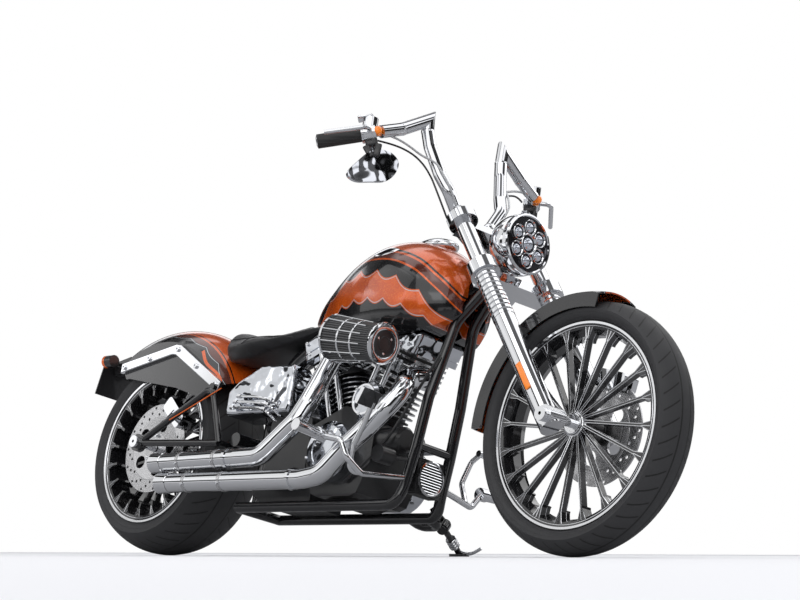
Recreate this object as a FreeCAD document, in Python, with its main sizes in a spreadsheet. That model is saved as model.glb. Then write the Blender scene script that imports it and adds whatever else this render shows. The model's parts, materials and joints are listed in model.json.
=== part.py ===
import FreeCAD, Part
import math
import os
import re
import Sketcher
from types import SimpleNamespace

Vector = FreeCAD.Vector

# Chopper motorcycle, millimetres. The machine is drawn upright with X forward, Y to its
# left and Z up, the rear axle above the origin, and then leaned onto its side stand.

SIZES = {
    # Stance
    "wheelbase": 1710,
    "rake_angle": 35,
    "trail": 145,
    "lean_angle": 12,
    "steer_angle": -3.2,
    "seat_gap": 0.3,
    "bore_gap": 0.05,
    "moving_gap": 6,
    "cut_over": 30,
    # Tyres and rims
    "front_tyre_radius": 344.5,
    "front_tyre_half_width": 66,
    "front_shoulder_drop": 32,
    "front_rim_lip_radius": 281,
    "front_rim_seat_radius": 267,
    "front_rim_half_width": 47,
    "rear_tyre_radius": 324.5,
    "rear_tyre_half_width": 120,
    "rear_shoulder_drop": 42,
    "rear_rim_lip_radius": 246,
    "rear_rim_seat_radius": 230,
    "rear_rim_half_width": 112,
    "tyre_over_lip": 2,
    "tyre_wall_hollow": 5,
    "rim_lip_thickness": 5,
    "rim_wall": 6,
    "rim_well_depth": 12,
    "blade_thickness": 8,
    "blade_foot_width": 27,
    "blade_inset": 3,
    "blade_tuck": 2,
    "blade_waist": 20,
    "front_blade_depth": 34,
    "rear_blade_depth": 38,
    "rear_blade_step": 55,
    "rear_blade_clearance": 36,
    "rear_blade_bridge": 22,
    "blade_rim_run": 40,
    "blade_count": 20,
    "blade_sweep_angle": 22,
    "front_hub_radius": 40,
    "front_hub_half_length": 52,
    "front_hub_shoulder": 31,
    "front_hub_neck_radius": 26,
    "rear_hub_radius": 48,
    "rear_hub_half_length": 92,
    "rear_hub_shoulder": 84,
    "rear_hub_neck_radius": 34,
    "front_axle_radius": 12,
    "rear_axle_radius": 12.5,
    "axle_nut_radius": 19,
    "axle_head_radius": 21,
    "axle_nut_length": 14,
    "axle_bore_radius": 5,
    # Discs, calipers and pulley
    "front_disc_radius": 146,
    "front_disc_offset": 62,
    "rear_disc_radius": 146,
    "rear_disc_offset": 99,
    "disc_thickness": 5,
    "disc_band": 42,
    "disc_carrier_thickness": 7,
    "disc_step": 1,
    "disc_hub_clearance": 4,
    "disc_hole_radius": 4.5,
    "disc_hole_count": 14,
    "disc_window_radius": 21,
    "disc_window_count": 5,
    "caliper_half_length": 56,
    "caliper_depth": 50,
    "caliper_bridge": 17,
    "caliper_cheek": 20,
    "caliper_corner": 12,
    "pulley_radius": 105,
    "pulley_offset": 138,
    "belt_width": 24,
    "belt_thickness": 5,
    "belt_play": 0.5,
    "pulley_flange": 4,
    "pulley_flange_rise": 7,
    "pulley_inner_dish": 30,
    "pulley_outer_dish": 12,
    "drive_pulley_radius": 40,
    "drive_pulley_ahead": 615,
    "drive_pulley_height": 290,
    # Fork
    "fork_half_spacing": 131,
    "fork_lead": 65,
    "fork_tube_radius": 24.5,
    "slider_radius": 31,
    "slider_lug_radius": 27,
    "slider_top": 725,
    "slider_foot": 338,
    "slider_bore_top": 120,
    "cover_radius": 32,
    "cover_flute_radius": 29,
    "cover_flute_pitch": 15,
    "cap_height": 14,
    "fork_top": 1121,
    "lower_clamp_low": 890,
    "lower_clamp_thickness": 40,
    "upper_clamp_low": 1091,
    "upper_clamp_thickness": 30,
    "clamp_lug_radius": 43,
    "clamp_neck_radius": 38,
    "clamp_web": 52,
    "clamp_web_lead": 40,
    "head_tube_radius": 31,
    "head_tube_gap": 3,
    "stem_radius": 14,
    # Handlebar, grips, hand controls and mirrors
    "weld_rise": 0.6,
    "bar_radius": 19,
    "bar_end_radius": 13,
    "bar_rise": 378,
    "bar_half_width": 440,
    "bar_bend": 60,
    "riser_radius": 25,
    "riser_lead": 20,
    "riser_rise": 52,
    "grip_radius": 21,
    "grip_length": 128,
    "grip_end": 6,
    "housing_radius": 26,
    "housing_length": 42,
    "lever_radius": 7,
    "lever_reach": 38,
    "lever_bend": 20,
    "cup_radius": 22,
    "cup_height": 34,
    "mirror_length": 164,
    "mirror_height": 96,
    "mirror_depth": 14,
    "mirror_arm_radius": 5.5,
    "mirror_side": 330,
    "mirror_back": 1086,
    "mirror_up": 1064,
    "mirror_arm_drop": 26,
    "mirror_toe_angle": 20,
    "mirror_tilt_angle": 34,
    # Headlamp
    "headlamp_radius": 88,
    "headlamp_depth": 106,
    "headlamp_rim": 12,
    "headlamp_rim_step": 3,
    "headlamp_glass_inset": 6,
    "headlamp_glass_rise": 4,
    "headlamp_front": 1413,
    "headlamp_height": 892,
    "headlamp_stem_radius": 12,
    # Front fender
    "front_fender_gap": 24,
    "front_fender_half_width": 76,
    "front_fender_crown": 200,
    "front_fender_skirt": 40,
    "fender_wall": 4,
    "front_fender_front_angle": 79,
    "front_fender_rear_angle": 180,
    "front_fender_mount": 684,
    "fender_tab_length": 30,
    "fender_tab_height": 26,
    # Rear fender and plate bracket
    "rear_fender_radius": 415,
    "rear_fender_half_width": 138,
    "rear_fender_crown": 172,
    "rear_fender_skirt": 150,
    "rear_fender_front_angle": 31,
    "rear_fender_rear_angle": 127,
    "fender_tool_wall": 200,
    "fender_tool_front_angle": 10,
    "fender_tool_rear_angle": 160,
    "fender_tool_over_angle": 0.1,
    "strut_thickness": 13,
    "strut_edge": 3,
    "plate_half_width": 90,
    "plate_thickness": 4,
    "plate_arm_half_width": 45,
    "signal_radius": 21,
    "signal_length": 44,
    "signal_half_spacing": 104,
    # Frame
    "frame_tube_radius": 16,
    "backbone_radius": 28,
    "backbone_bend": 110,
    "rail_half_spacing": 88,
    "rail_height": 126,
    "rear_post_ahead": 448,
    "cradle_bend": 90,
    "pivot_tube_radius": 22,
    "engine_cross_radius": 12,
    "engine_cross_height": 302,
    "front_mount_half_width": 18,
    "mount_plate": 18,
    "rear_mount_half_width": 40,
    "rear_mount_height": 40,
    "stand_carrier_side": 135,
    "stand_carrier_height": 115,
    "stand_carrier_run": 24,
    "stand_upper_tab": 62,
    "stand_lower_tab": 34,
    # Rear fork
    "arm_half_spacing": 166,
    "arm_tube_radius": 11,
    "arm_boss_radius": 28,
    "arm_strut_boss_radius": 12,
    "arm_bend": 30,
    "pivot_height": 325,
    # Engine
    "crank_ahead": 880,
    "crank_height": 258,
    "vee_half_angle": 22.5,
    "deck_height": 150,
    "deck_half_length": 76,
    "barrel_height": 135,
    "head_height": 88,
    "rocker_height": 70,
    "barrel_core_radius": 56,
    "fin_radius": 76,
    "fin_count": 9,
    "fin_thickness": 4,
    "fin_meeting_gap": 1,
    "head_half_length": 84,
    "head_half_width": 76,
    "head_fin_count": 6,
    "head_fin_depth": 9,
    "head_fin_thickness": 7,
    "head_corner": 16,
    "rocker_half_length": 93,
    "rocker_half_width": 98,
    "rocker_base": 18,
    "rocker_inset": 5,
    "rocker_corner": 18,
    "case_half_width": 105,
    "case_half_length": 134,
    "case_floor_half_width": 66,
    "case_floor_height": 150,
    "cam_cover_depth": 45,
    "cam_cover_radius": 88,
    "cam_cover_edge": 14,
    "cam_cover_back": 15,
    "cam_cover_rise": 20,
    "side_cover_radius": 56,
    "side_cover_depth": 34,
    "side_cover_edge": 9,
    "side_cover_foot_radius": 9,
    "pushrod_radius": 9,
    "pushrod_offset": 89,
    "pushrod_half_gap": 24,
    "primary_outer": 190,
    "primary_radius": 100,
    "primary_tail_radius": 88,
    "primary_tail_ahead": 620,
    "primary_tail_rise": 12,
    "primary_edge": 12,
    "gearbox_front": 742,
    "gearbox_rear": 560,
    "gearbox_low": 185,
    "gearbox_corner": 24,
    # Air cleaner
    "intake_stub_radius": 21,
    "intake_radius": 27,
    "intake_inner": 20,
    "intake_along": 315,
    "intake_bend": 46,
    "filter_side": 232,
    "filter_back": 928,
    "filter_height": 585,
    "filter_length": 190,
    "filter_back_radius": 66,
    "filter_front_radius": 55,
    "filter_cap_rise": 4,
    "filter_cap_width": 14,
    "filter_cap_edge": 3,
    "filter_ring_radius": 71,
    "filter_ring_width": 16,
    "filter_ring_edge": 14,
    "filter_tilt_angle": 9,
    # Exhaust
    "exhaust_radius": 29,
    "exhaust_wall": 2.5,
    "exhaust_bore_depth": 120,
    "exhaust_collar_radius": 32.5,
    "exhaust_collar_width": 12,
    "exhaust_collar_run": 30,
    "exhaust_port_along": 321,
    "exhaust_front_port_side": 45,
    "rear_port_along": 302,
    "rear_port_ahead": 58,
    "rear_port_radius": 22,
    "rear_port_reach": 58,
    "front_port_reach": 31,
    "exhaust_front_bend": 70,
    "exhaust_rear_bend": 60,
    # Oil tank, cooler and filter
    "oil_tank_half_width": 158,
    "oil_tank_corner": 26,
    "oil_tank_slot": 556,
    "oil_tank_mouth": 86,
    "oil_tank_mouth_depth": 66,
    "cooler_half_width": 53,
    "cooler_half_height": 52,
    "cooler_depth": 36,
    "cooler_ahead": 1141,
    "cooler_height": 219,
    "cooler_corner": 12,
    "cooler_pin_radius": 8,
    "oil_filter_radius": 38,
    "oil_filter_length": 92,
    "oil_filter_edge": 8,
    "oil_filter_side": 60,
    "oil_filter_height": 320,
    # Controls
    "peg_radius": 17,
    "peg_root_radius": 20,
    "peg_root_length": 25,
    "peg_length": 84,
    "peg_rise_angle": 4,
    "pad_half_length": 34,
    "pad_half_height": 24,
    "pad_thickness": 14,
    "control_rod_radius": 9,
    "pedal_rod_radius": 8,
    "toe_rod_length": 46,
    "toe_rod_radius": 10,
    "control_bend": 24,
    "reservoir_radius": 25,
    "reservoir_length": 52,
    "reservoir_ahead": 1110,
    "reservoir_height": 254,
    "reservoir_side": 120,
    "reservoir_bracket": 12,
    # Side stand
    "stand_radius": 9,
    "stand_foot_radius": 30,
    "stand_foot_thickness": 8,
    "stand_foot_run": 22,
    "stand_pivot_radius": 18,
    "stand_lug_radius": 15,
    "stand_pin_radius": 7,
    "stand_knuckle_half": 15,
    "stand_lug_thickness": 6,
    "stand_start": 4,
    "stand_bend": 30,
    "stand_pivot_ahead": 1067,
    "stand_pivot_side": 178,
    "stand_pivot_height": 122,
    "stand_foot_back": 32,
    "stand_foot_out": 114,
    "stand_foot_drop": 60,
    # Tank, console and seat
    "tank_half_width": 162,
    "tank_top": 938,
    "console_ahead": 1048,
    "console_half_length": 75,
    "console_half_width": 48,
    "console_rise": 26,
    "console_height": 924,
    "tank_room": 7,
    "neck_room_low": 600,
    "neck_room_rear": 1165,
    "neck_room_front": 1350,
    "neck_room_top": 1000,
    "neck_room_half": 60,
    "neck_room_start": 840,
    "neck_room_length": 300,
    "vee_room_low": 200,
    "backbone_room_low": 500,
    "backbone_room_top": 560,
}

doc = FreeCAD.newDocument("chopper_motorcycle")
sheet = doc.addObject("Spreadsheet::Sheet", "sizes")
for row, (alias, amount) in enumerate(SIZES.items(), start=1):
    sheet.set(f"A{row}", alias)
    sheet.set(f"B{row}", str(amount))
    sheet.setAlias(f"B{row}", alias)
doc.recompute()
V = SimpleNamespace(**{alias: float(getattr(sheet, alias)) for alias in SIZES})
WORDS = re.compile(r"\b(" + "|".join(sorted(SIZES, key=len, reverse=True)) + r")\b")


# Drawing helpers

def expression(text):
    """An expression on the sheet's aliases, in the form that a binding reads."""
    return WORDS.sub(r"sizes.\1", str(text))


def number(text):
    """The value of such an expression now."""
    return float(sheet.evalExpression(str(text))) if isinstance(text, str) else float(text)


def bind(thing, prop, text):
    """Bind one property of an object to an expression on the sheet."""
    thing.setExpression(prop, expression(text))


def new_body(name):
    body = doc.addObject("PartDesign::Body", name)
    body.Label = name
    return body


def sketch_on(body, role, name, offset=None):
    """A sketch on one of the body's own origin planes, moved along the plane's normal."""
    sketch = body.newObject("Sketcher::SketchObject", name)
    plane = next(f for f in body.Origin.OriginFeatures if f.Role == role)
    sketch.AttachmentSupport = (plane, [""])
    sketch.MapMode = "FlatFace"
    if offset is not None:
        sketch.setExpression("AttachmentOffset.Base.z", expression(offset))
    return sketch


def draw(sketch, points):
    """Close an outline through points given as expressions.

    A point is (across, up); ("arc", across, up) is a point that the next arc passes through.
    """
    corners = [p for p in points if p[0] != "arc"]
    spots = [Vector(number(a), number(b), 0) for a, b in corners]
    via = {}
    index = -1
    for p in points:
        if p[0] == "arc":
            via[index] = Vector(number(p[1]), number(p[2]), 0)
        else:
            index += 1
    count = len(spots)
    ends = {}
    for i in range(count):
        start, end = spots[i], spots[(i + 1) % count]
        ends[i] = (1, 2)
        if i in via:
            circle = Part.Arc(start, via[i], end).toShape().Curve
            hub = circle.Center
            angles = [math.atan2(p.y - hub.y, p.x - hub.x) for p in (start, end)]
            if (via[i] - start).cross(end - via[i]).z < 0:
                angles.reverse()
                ends[i] = (2, 1)
            if angles[1] < angles[0]:
                angles[1] += 2 * math.pi
            round_curve = Part.Circle(hub, Vector(0, 0, 1), circle.Radius)
            sketch.addGeometry(Part.ArcOfCircle(round_curve, *angles), False)
        else:
            sketch.addGeometry(Part.LineSegment(start, end), False)
    for i in range(count):
        j = (i + 1) % count
        sketch.addConstraint(Sketcher.Constraint("Coincident", i, ends[i][1], j, ends[j][0]))
    for i, (a, b) in enumerate(corners):
        for kind, text, amount in (("DistanceX", a, spots[i].x), ("DistanceY", b, spots[i].y)):
            spot = sketch.addConstraint(Sketcher.Constraint(kind, -1, 1, i, ends[i][0], amount))
            if isinstance(text, str):
                sketch.setExpression(f"Constraints[{spot}]", expression(text))
    for i, middle in via.items():
        radius = sketch.Geometry[i].Radius
        sketch.addConstraint(Sketcher.Constraint("Radius", i, radius))


def lathe(body, points, name="profile"):
    """Turn an outline of (along the axis, radius) about the body's X axis."""
    sketch = sketch_on(body, "XZ_Plane", name)
    draw(sketch, points)
    turned = body.newObject("PartDesign::Revolution", name + "_turned")
    turned.Profile = sketch
    turned.ReferenceAxis = (sketch, ["H_Axis"])
    turned.Angle = 360
    return turned


def turned_part(name, points):
    body = new_body(name)
    lathe(body, points)
    return body


def along(start, direction, roll=0.0):
    """A placement that carries the X axis to a direction from a start point."""
    turn = FreeCAD.Rotation(Vector(1, 0, 0), direction)
    return FreeCAD.Placement(start, turn.multiply(FreeCAD.Rotation(Vector(1, 0, 0), roll)))


def across(ahead, side, height):
    """A placement that carries X to Y (the left) and leaves Z up."""
    return FreeCAD.Placement(Vector(ahead, side, height), FreeCAD.Rotation(Vector(0, 0, 1), 90))


def cylinder(name, radius, length, start, direction):
    """A Part cylinder from a start point along a direction, radius and length bound."""
    solid = doc.addObject("Part::Cylinder", name)
    solid.Label = name
    bind(solid, "Radius", radius)
    bind(solid, "Height", length)
    solid.Placement = FreeCAD.Placement(start, FreeCAD.Rotation(Vector(0, 0, 1), direction))
    return solid


def box(name, length, width, height, centre, turn=FreeCAD.Rotation()):
    """A Part box about its centre, with its three sizes bound."""
    solid = doc.addObject("Part::Box", name)
    solid.Label = name
    bind(solid, "Length", length)
    bind(solid, "Width", width)
    bind(solid, "Height", height)
    half = Vector(number(length) / 2, number(width) / 2, number(height) / 2)
    solid.Placement = FreeCAD.Placement(centre - turn.multVec(half), turn)
    return solid


def rounded(name, solid, radius, pick=None):
    """Fillet the edges of a solid that the test picks."""
    doc.recompute()
    fillet = doc.addObject("Part::Fillet", name)
    fillet.Label = name
    fillet.Base = solid
    edges = [i for i, edge in enumerate(solid.Shape.Edges, start=1) if pick is None or pick(edge)]
    fillet.Edges = [(i, number(radius), number(radius)) for i in edges]
    return fillet


def round_route(points, bend):
    """A wire of straight runs joined by tangent arcs of one bend radius."""
    edges = []
    here = points[0]
    for before, corner, after in zip(points, points[1:], points[2:]):
        back = (before - corner).normalize()
        on = (after - corner).normalize()
        turn = math.pi - back.getAngle(on)
        reach = min((corner - before).Length, (after - corner).Length) * 0.49
        radius = min(bend, reach / math.tan(turn / 2))
        cut = radius * math.tan(turn / 2)
        middle = (back + on).normalize() * (radius / math.cos(turn / 2) - radius)
        start, end = corner + back * cut, corner + on * cut
        if (start - here).Length > 1e-6:
            edges.append(Part.LineSegment(here, start).toShape())
        edges.append(Part.Arc(start, corner + middle, end).toShape())
        here = end
    edges.append(Part.LineSegment(here, points[-1]).toShape())
    return Part.Wire(edges)


def pipe(name, points, radius, bend=40.0, mitred=False):
    """A round bar swept along a route of points, bent or mitred at its corners."""
    route = doc.addObject("Part::Feature", name + "_route")
    route.Shape = Part.makePolygon(points) if mitred else round_route(points, bend)
    ring = doc.addObject("Part::Circle", name + "_ring")
    bind(ring, "Radius", radius)
    ring.Placement = FreeCAD.Placement(
        points[0], FreeCAD.Rotation(Vector(0, 0, 1), points[1] - points[0]))
    swept = doc.addObject("Part::Sweep", name)
    swept.Label = name
    swept.Sections = [ring]
    swept.Spine = (route, [f"Edge{i + 1}" for i in range(len(route.Shape.Edges))])
    swept.Solid = True
    swept.Frenet = False
    swept.Transition = "Right corner" if mitred else "Transformed"
    return swept


def cut(name, base, tool):
    """Take one solid away from another."""
    result = doc.addObject("Part::Cut", name)
    result.Label = name
    result.Base = base
    result.Tool = tool
    return result


def fused(name, pieces):
    """Join pieces of one sub-part to one solid."""
    result = doc.addObject("Part::MultiFuse", name)
    result.Label = name
    result.Shapes = pieces
    return result


def grouped(name, pieces):
    """Keep like pieces together as separate solids of one sub-part."""
    result = doc.addObject("Part::Compound", name)
    result.Label = name
    result.Links = pieces
    return result


def shaped(name, shape):
    """A sub-part whose shape comes from Part's own functions."""
    result = doc.addObject("Part::Feature", name)
    result.Label = name
    result.Shape = shape
    return result


def joined(name, parts):
    """A chain of unions, each part joined to all before it; steadier where many tubes meet."""
    whole = parts[0]
    for index, part in enumerate(parts[1:], 1):
        union = doc.addObject("Part::Fuse", name if index == len(parts) - 1 else f"{name}_{index}")
        union.Label = union.Name
        union.Base = whole
        union.Tool = part
        whole = union
    doc.recompute()
    return whole


def groove(body, name, points):
    """A turned recess round the body's X axis, its outline of along, radius points as in a lathe."""
    sketch = sketch_on(body, "XZ_Plane", name + "_outline")
    draw(sketch, points)
    recess = body.newObject("PartDesign::Groove", name)
    recess.Profile = sketch
    recess.ReferenceAxis = (sketch, ["H_Axis"])
    recess.Angle = 360
    body.Tip = recess
    return recess


# Places on the machine

REAR_AXLE = Vector(0, 0, V.rear_tyre_radius)
FRONT_AXLE = Vector(V.wheelbase, 0, V.front_tyre_radius)
RAKE = math.radians(V.rake_angle)
STEER_POINT = Vector(V.wheelbase + V.trail, 0, 0)
STEER_UP = Vector(-math.sin(RAKE), 0, math.cos(RAKE))
STEER_AHEAD = Vector(math.cos(RAKE), 0, math.sin(RAKE))
LEFT = Vector(0, 1, 0)
AHEAD = Vector(1, 0, 0)
UP = Vector(0, 0, 1)
CLAMP_TOP = V.upper_clamp_low + V.upper_clamp_thickness


def fork_point(height, lead, side):
    """A point by its height along the steering axis, its lead ahead of it and its side."""
    return STEER_POINT + STEER_UP * height + STEER_AHEAD * lead + LEFT * side


def bar_place(rise, lead, reach, side):
    """A point of the handlebar by shares of its rise and of its half width."""
    return fork_point(CLAMP_TOP + rise * V.bar_rise, lead * V.bar_rise, side * reach * V.bar_half_width)


def place(ahead, side, height):
    """A point by shares of the crank's place ahead, the tank's half width and its height."""
    return Vector(ahead * V.crank_ahead, side * V.tank_half_width, height * V.tank_top)


def route(shares, side=1):
    return [place(ahead, side * out, height) for ahead, out, height in shares]


def side_face(shares, half, middle=0.0):
    """A plate between two sides from an outline of (ahead, height) shares."""
    corners = [place(ahead, 0, height) for ahead, height in shares]
    plate = Part.Face(Part.makePolygon(corners + corners[:1])).extrude(LEFT * 2 * half)
    plate.translate(LEFT * (middle - half))
    return plate


FORK_TURN = FreeCAD.Rotation(STEER_AHEAD, LEFT, STEER_UP, "ZXY")
AXLE_HEIGHT = (FRONT_AXLE - STEER_POINT).dot(STEER_UP)
AXLE_LEAD = (FRONT_AXLE - STEER_POINT).dot(STEER_AHEAD)

CRANK = Vector(V.crank_ahead, 0, V.crank_height)
VEE = math.radians(V.vee_half_angle)
CYLINDER_AXES = {"front": Vector(math.sin(VEE), 0, math.cos(VEE)),
                 "rear": Vector(-math.sin(VEE), 0, math.cos(VEE))}

nodes = {"frame": [], "fork": [], "front_wheel": [], "rear_wheel": [], "side_stand": []}


def keep(body, part):
    """Enter a finished sub-part on the moving body that it belongs to."""
    nodes[body].append(part)
    return part


# Tyres, rims, discs and pulley

def make_tyre(end, body, axle):
    bead = f"({end}_rim_half_width - rim_lip_thickness - seat_gap)"
    seat = f"{end}_rim_seat_radius + seat_gap"
    over = f"({end}_rim_lip_radius + tyre_over_lip)"
    wall = f"{end}_tyre_half_width"
    shoulder = f"({end}_tyre_radius - {end}_shoulder_drop)"
    middle = f"({over} + {shoulder}) / 2"
    swell = f"({wall} - tyre_wall_hollow)"
    tyre = turned_part(f"{end}_tyre", [
        (f"-{bead}", seat), (f"-{bead}", over), ("arc", f"-{swell}", middle),
        (f"-{wall}", shoulder), ("arc", "0", f"{end}_tyre_radius"),
        (wall, shoulder), ("arc", swell, middle), (bead, over), (bead, seat)])
    tyre.Placement = across(axle.x, 0, axle.z)
    return keep(body, tyre)


def make_rim(end, body, axle):
    half = f"({end}_rim_half_width)"
    lip = f"({end}_rim_half_width - rim_lip_thickness)"
    top = f"{end}_rim_lip_radius"
    seat = f"{end}_rim_seat_radius"
    well = f"({end}_rim_seat_radius - rim_well_depth)"
    body_rim = new_body(f"{end}_rim")
    lathe(body_rim, [
        (f"-{half}", top), (f"-{lip}", top), (f"-{lip}", seat),
        (f"-{half} / 2", seat), (f"-{half} / 3", well), (f"{half} / 3", well),
        (f"{half} / 2", seat), (lip, seat), (lip, top), (half, top),
        (half, f"{top} - rim_wall"), (lip, f"{seat} - rim_wall"),
        (f"{half} / 3", f"{well} - rim_wall"), (f"-{half} / 3", f"{well} - rim_wall"),
        (f"-{lip}", f"{seat} - rim_wall"), (f"-{half}", f"{top} - rim_wall")], "barrel")
    bore = f"{end}_axle_radius + bore_gap"
    hub = f"{end}_hub_half_length"
    neck = f"{end}_hub_neck_radius"
    shoulder = f"{end}_hub_shoulder"
    lathe(body_rim, [
        (f"-{hub}", bore), (f"-{hub}", neck), (f"-{shoulder}", f"{end}_hub_radius"),
        (shoulder, f"{end}_hub_radius"), (hub, neck), (hub, bore)], "hub")
    root = number(neck) - V.blade_tuck
    foot = number(seat) - V.blade_tuck
    sweep = math.radians(V.blade_sweep_angle)
    thin = V.blade_thickness / 2
    wide = V.blade_foot_width / 2
    blade_shares = [(0.0, 0.0, thin), (0.21, 0.75, thin), (0.87, 0.98, thin), (1.0, 1.0, wide)]

    def blade_edge(radius, side):
        """A point on one edge of the swept blade, at a radius from the axle."""
        share = (radius - root) / (foot - root)
        for near, far in zip(blade_shares, blade_shares[1:]):
            if share <= far[0]:
                part = (share - near[0]) / (far[0] - near[0])
                turn = sweep * (near[1] + (far[1] - near[1]) * part)
                half_thick = near[2] + (far[2] - near[2]) * part
                break
        ray = Vector(math.cos(turn), math.sin(turn), 0)
        return ray * radius + Vector(-ray.y, ray.x, 0) * half_thick * side

    def blade(name, low, high, start, depth):
        bends = [root + (foot - root) * share for share, _, _ in blade_shares]
        radii = [low] + [r for r in bends if low < r < high] + [high]
        outline = [blade_edge(r, -1) for r in radii] + [blade_edge(r, 1) for r in reversed(radii)]
        sketch = sketch_on(body_rim, "YZ_Plane", name + "_outline", f"{start} - {half}")
        for begin, finish in zip(outline, outline[1:] + outline[:1]):
            sketch.addGeometry(Part.LineSegment(begin, finish), False)
        pad = body_rim.newObject("PartDesign::Pad", name)
        pad.Profile = sketch
        bind(pad, "Length", depth)
        return pad, sketch

    if end == "front":
        rim_part = number(seat) - V.blade_rim_run
        pads = [blade("blade", root, foot, "blade_inset", "blade_waist"),
                blade("blade_foot", rim_part, foot, "blade_inset", "front_blade_depth")]
    else:
        clear = V.rear_disc_radius + V.rear_blade_clearance
        bridge = clear + V.rear_blade_bridge
        pads = [blade("blade", root, bridge, "rear_blade_step", "blade_waist"),
                blade("blade_bridge", clear, bridge, "blade_inset",
                      "rear_blade_step + blade_waist - blade_inset"),
                blade("blade_foot", clear, foot, "blade_inset", "rear_blade_depth")]
    blades = body_rim.newObject("PartDesign::PolarPattern", "blades")
    blades.Originals = [pad for pad, _ in pads]
    blades.Axis = (pads[0][1], ["N_Axis"])
    blades.Angle = 360
    bind(blades, "Occurrences", "blade_count")
    body_rim.Tip = blades
    body_rim.Placement = across(axle.x, 0, axle.z)
    return keep(body, body_rim)


def drilled(body, name, spots, radius, count):
    """Round holes through a turned body at (radius out, turn) spots, repeated about its axis."""
    sketch = sketch_on(body, "YZ_Plane", name + "_outline")
    for out, turn in spots:
        centre = Vector(math.cos(turn), math.sin(turn), 0) * number(out)
        spot = sketch.addGeometry(Part.Circle(centre, UP, number(radius)), False)
        size = sketch.addConstraint(Sketcher.Constraint("Radius", spot, number(radius)))
        sketch.setExpression(f"Constraints[{size}]", expression(radius))
    pocket = body.newObject("PartDesign::Pocket", name)
    pocket.Profile = sketch
    pocket.Type = "ThroughAll"
    pocket.Midplane = True
    ring = body.newObject("PartDesign::PolarPattern", name + "_ring")
    ring.Originals = [pocket]
    ring.Axis = (sketch, ["N_Axis"])
    ring.Angle = 360
    bind(ring, "Occurrences", count)
    body.Tip = ring


def make_disc(end, body, axle, side):
    r = f"{end}_disc_"
    inner = f"{r}radius - disc_band"
    hub = f"{end}_hub_half_length + seat_gap"
    at = f"{r}offset"
    disc = turned_part(f"{end}_disc", [
        (hub, f"{end}_axle_radius + disc_hub_clearance"), (hub, f"{end}_hub_radius"),
        (f"{at} - disc_carrier_thickness / 2", f"{inner}"),
        (f"{at} - disc_thickness / 2", f"{inner} + disc_step"),
        (f"{at} - disc_thickness / 2", f"{r}radius"),
        (f"{at} + disc_thickness / 2", f"{r}radius"),
        (f"{at} + disc_thickness / 2", f"{inner} + disc_step"),
        (f"{at} + disc_carrier_thickness / 2", f"{inner}"),
        (f"{hub} + disc_carrier_thickness", f"{end}_hub_radius"),
        (f"{hub} + disc_carrier_thickness", f"{end}_axle_radius + disc_hub_clearance")])
    pitch = 2 * math.pi / V.disc_hole_count
    rows = [(f"{r}radius - disc_band * {share}", pitch * turn)
            for share, turn in ((0.2, 0.0), (0.5, 0.33), (0.8, 0.66))]
    drilled(disc, "holes", rows, "disc_hole_radius", "disc_hole_count")
    drilled(disc, "windows", [(f"({inner} + {end}_hub_radius) / 2", 0.0)], "disc_window_radius",
            "disc_window_count")
    placement = across(axle.x, 0, axle.z)
    if side < 0:
        placement = placement.multiply(FreeCAD.Placement(Vector(), FreeCAD.Rotation(UP, 180)))
    disc.Placement = placement
    return keep(body, disc)


def make_pulley():
    hub = "rear_hub_half_length + seat_gap"
    near = "(pulley_offset - belt_width / 2)"
    far = "(pulley_offset + belt_width / 2)"
    rim = "pulley_radius + pulley_flange_rise"
    bore = "rear_axle_radius + disc_hub_clearance"
    pulley = turned_part("rear_pulley", [
        (hub, bore), (hub, "rear_hub_radius"),
        (f"{near} - pulley_flange", "pulley_radius - pulley_inner_dish"),
        (f"{near} - pulley_flange", rim), (f"{near} - belt_play", rim),
        (f"{near} - belt_play", "pulley_radius"), (f"{far} + belt_play", "pulley_radius"),
        (f"{far} + belt_play", rim), (f"{far} + pulley_flange", rim),
        (f"{far} + pulley_flange", "pulley_radius - pulley_outer_dish"),
        (f"{near} + pulley_flange", "pulley_radius - pulley_outer_dish - pulley_flange"),
        (f"{near} + pulley_flange", bore)])
    pulley.Placement = across(REAR_AXLE.x, 0, REAR_AXLE.z)
    return keep("rear_wheel", pulley)


make_tyre("front", "front_wheel", FRONT_AXLE)
make_rim("front", "front_wheel", FRONT_AXLE)
make_disc("front", "front_wheel", FRONT_AXLE, 1)
make_tyre("rear", "rear_wheel", REAR_AXLE)
make_rim("rear", "rear_wheel", REAR_AXLE)
make_disc("rear", "rear_wheel", REAR_AXLE, -1)
make_pulley()


# Axles

def make_axle(end, body, axle, reach):
    bolt = turned_part(f"{end}_axle", [
        (f"-({reach}) - axle_nut_length", "axle_bore_radius"),
        (f"-({reach}) - axle_nut_length", "axle_nut_radius"),
        (f"-({reach})", "axle_nut_radius"), (f"-({reach})", f"{end}_axle_radius"),
        (reach, f"{end}_axle_radius"), (reach, "axle_head_radius"),
        (f"{reach} + axle_nut_length", "axle_head_radius"),
        (f"{reach} + axle_nut_length", "axle_bore_radius")])
    bolt.Placement = across(axle.x, 0, axle.z)
    return keep(body, bolt)


make_axle("front", "fork", FRONT_AXLE, "fork_half_spacing + slider_radius + seat_gap")
make_axle("rear", "frame", REAR_AXLE, "arm_half_spacing + arm_tube_radius + seat_gap")


# Fork

def make_fork_tubes():
    tubes = []
    for side in (-1, 1):
        low = fork_point(V.slider_top - V.slider_bore_top, V.fork_lead, side * V.fork_half_spacing)
        tube = cylinder(f"fork_tube_{'left' if side > 0 else 'right'}", "fork_tube_radius",
                        "fork_top + cap_height - slider_top + slider_bore_top", low, STEER_UP)
        tubes.append(tube)
    return keep("fork", grouped("fork_tubes", tubes))


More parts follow.
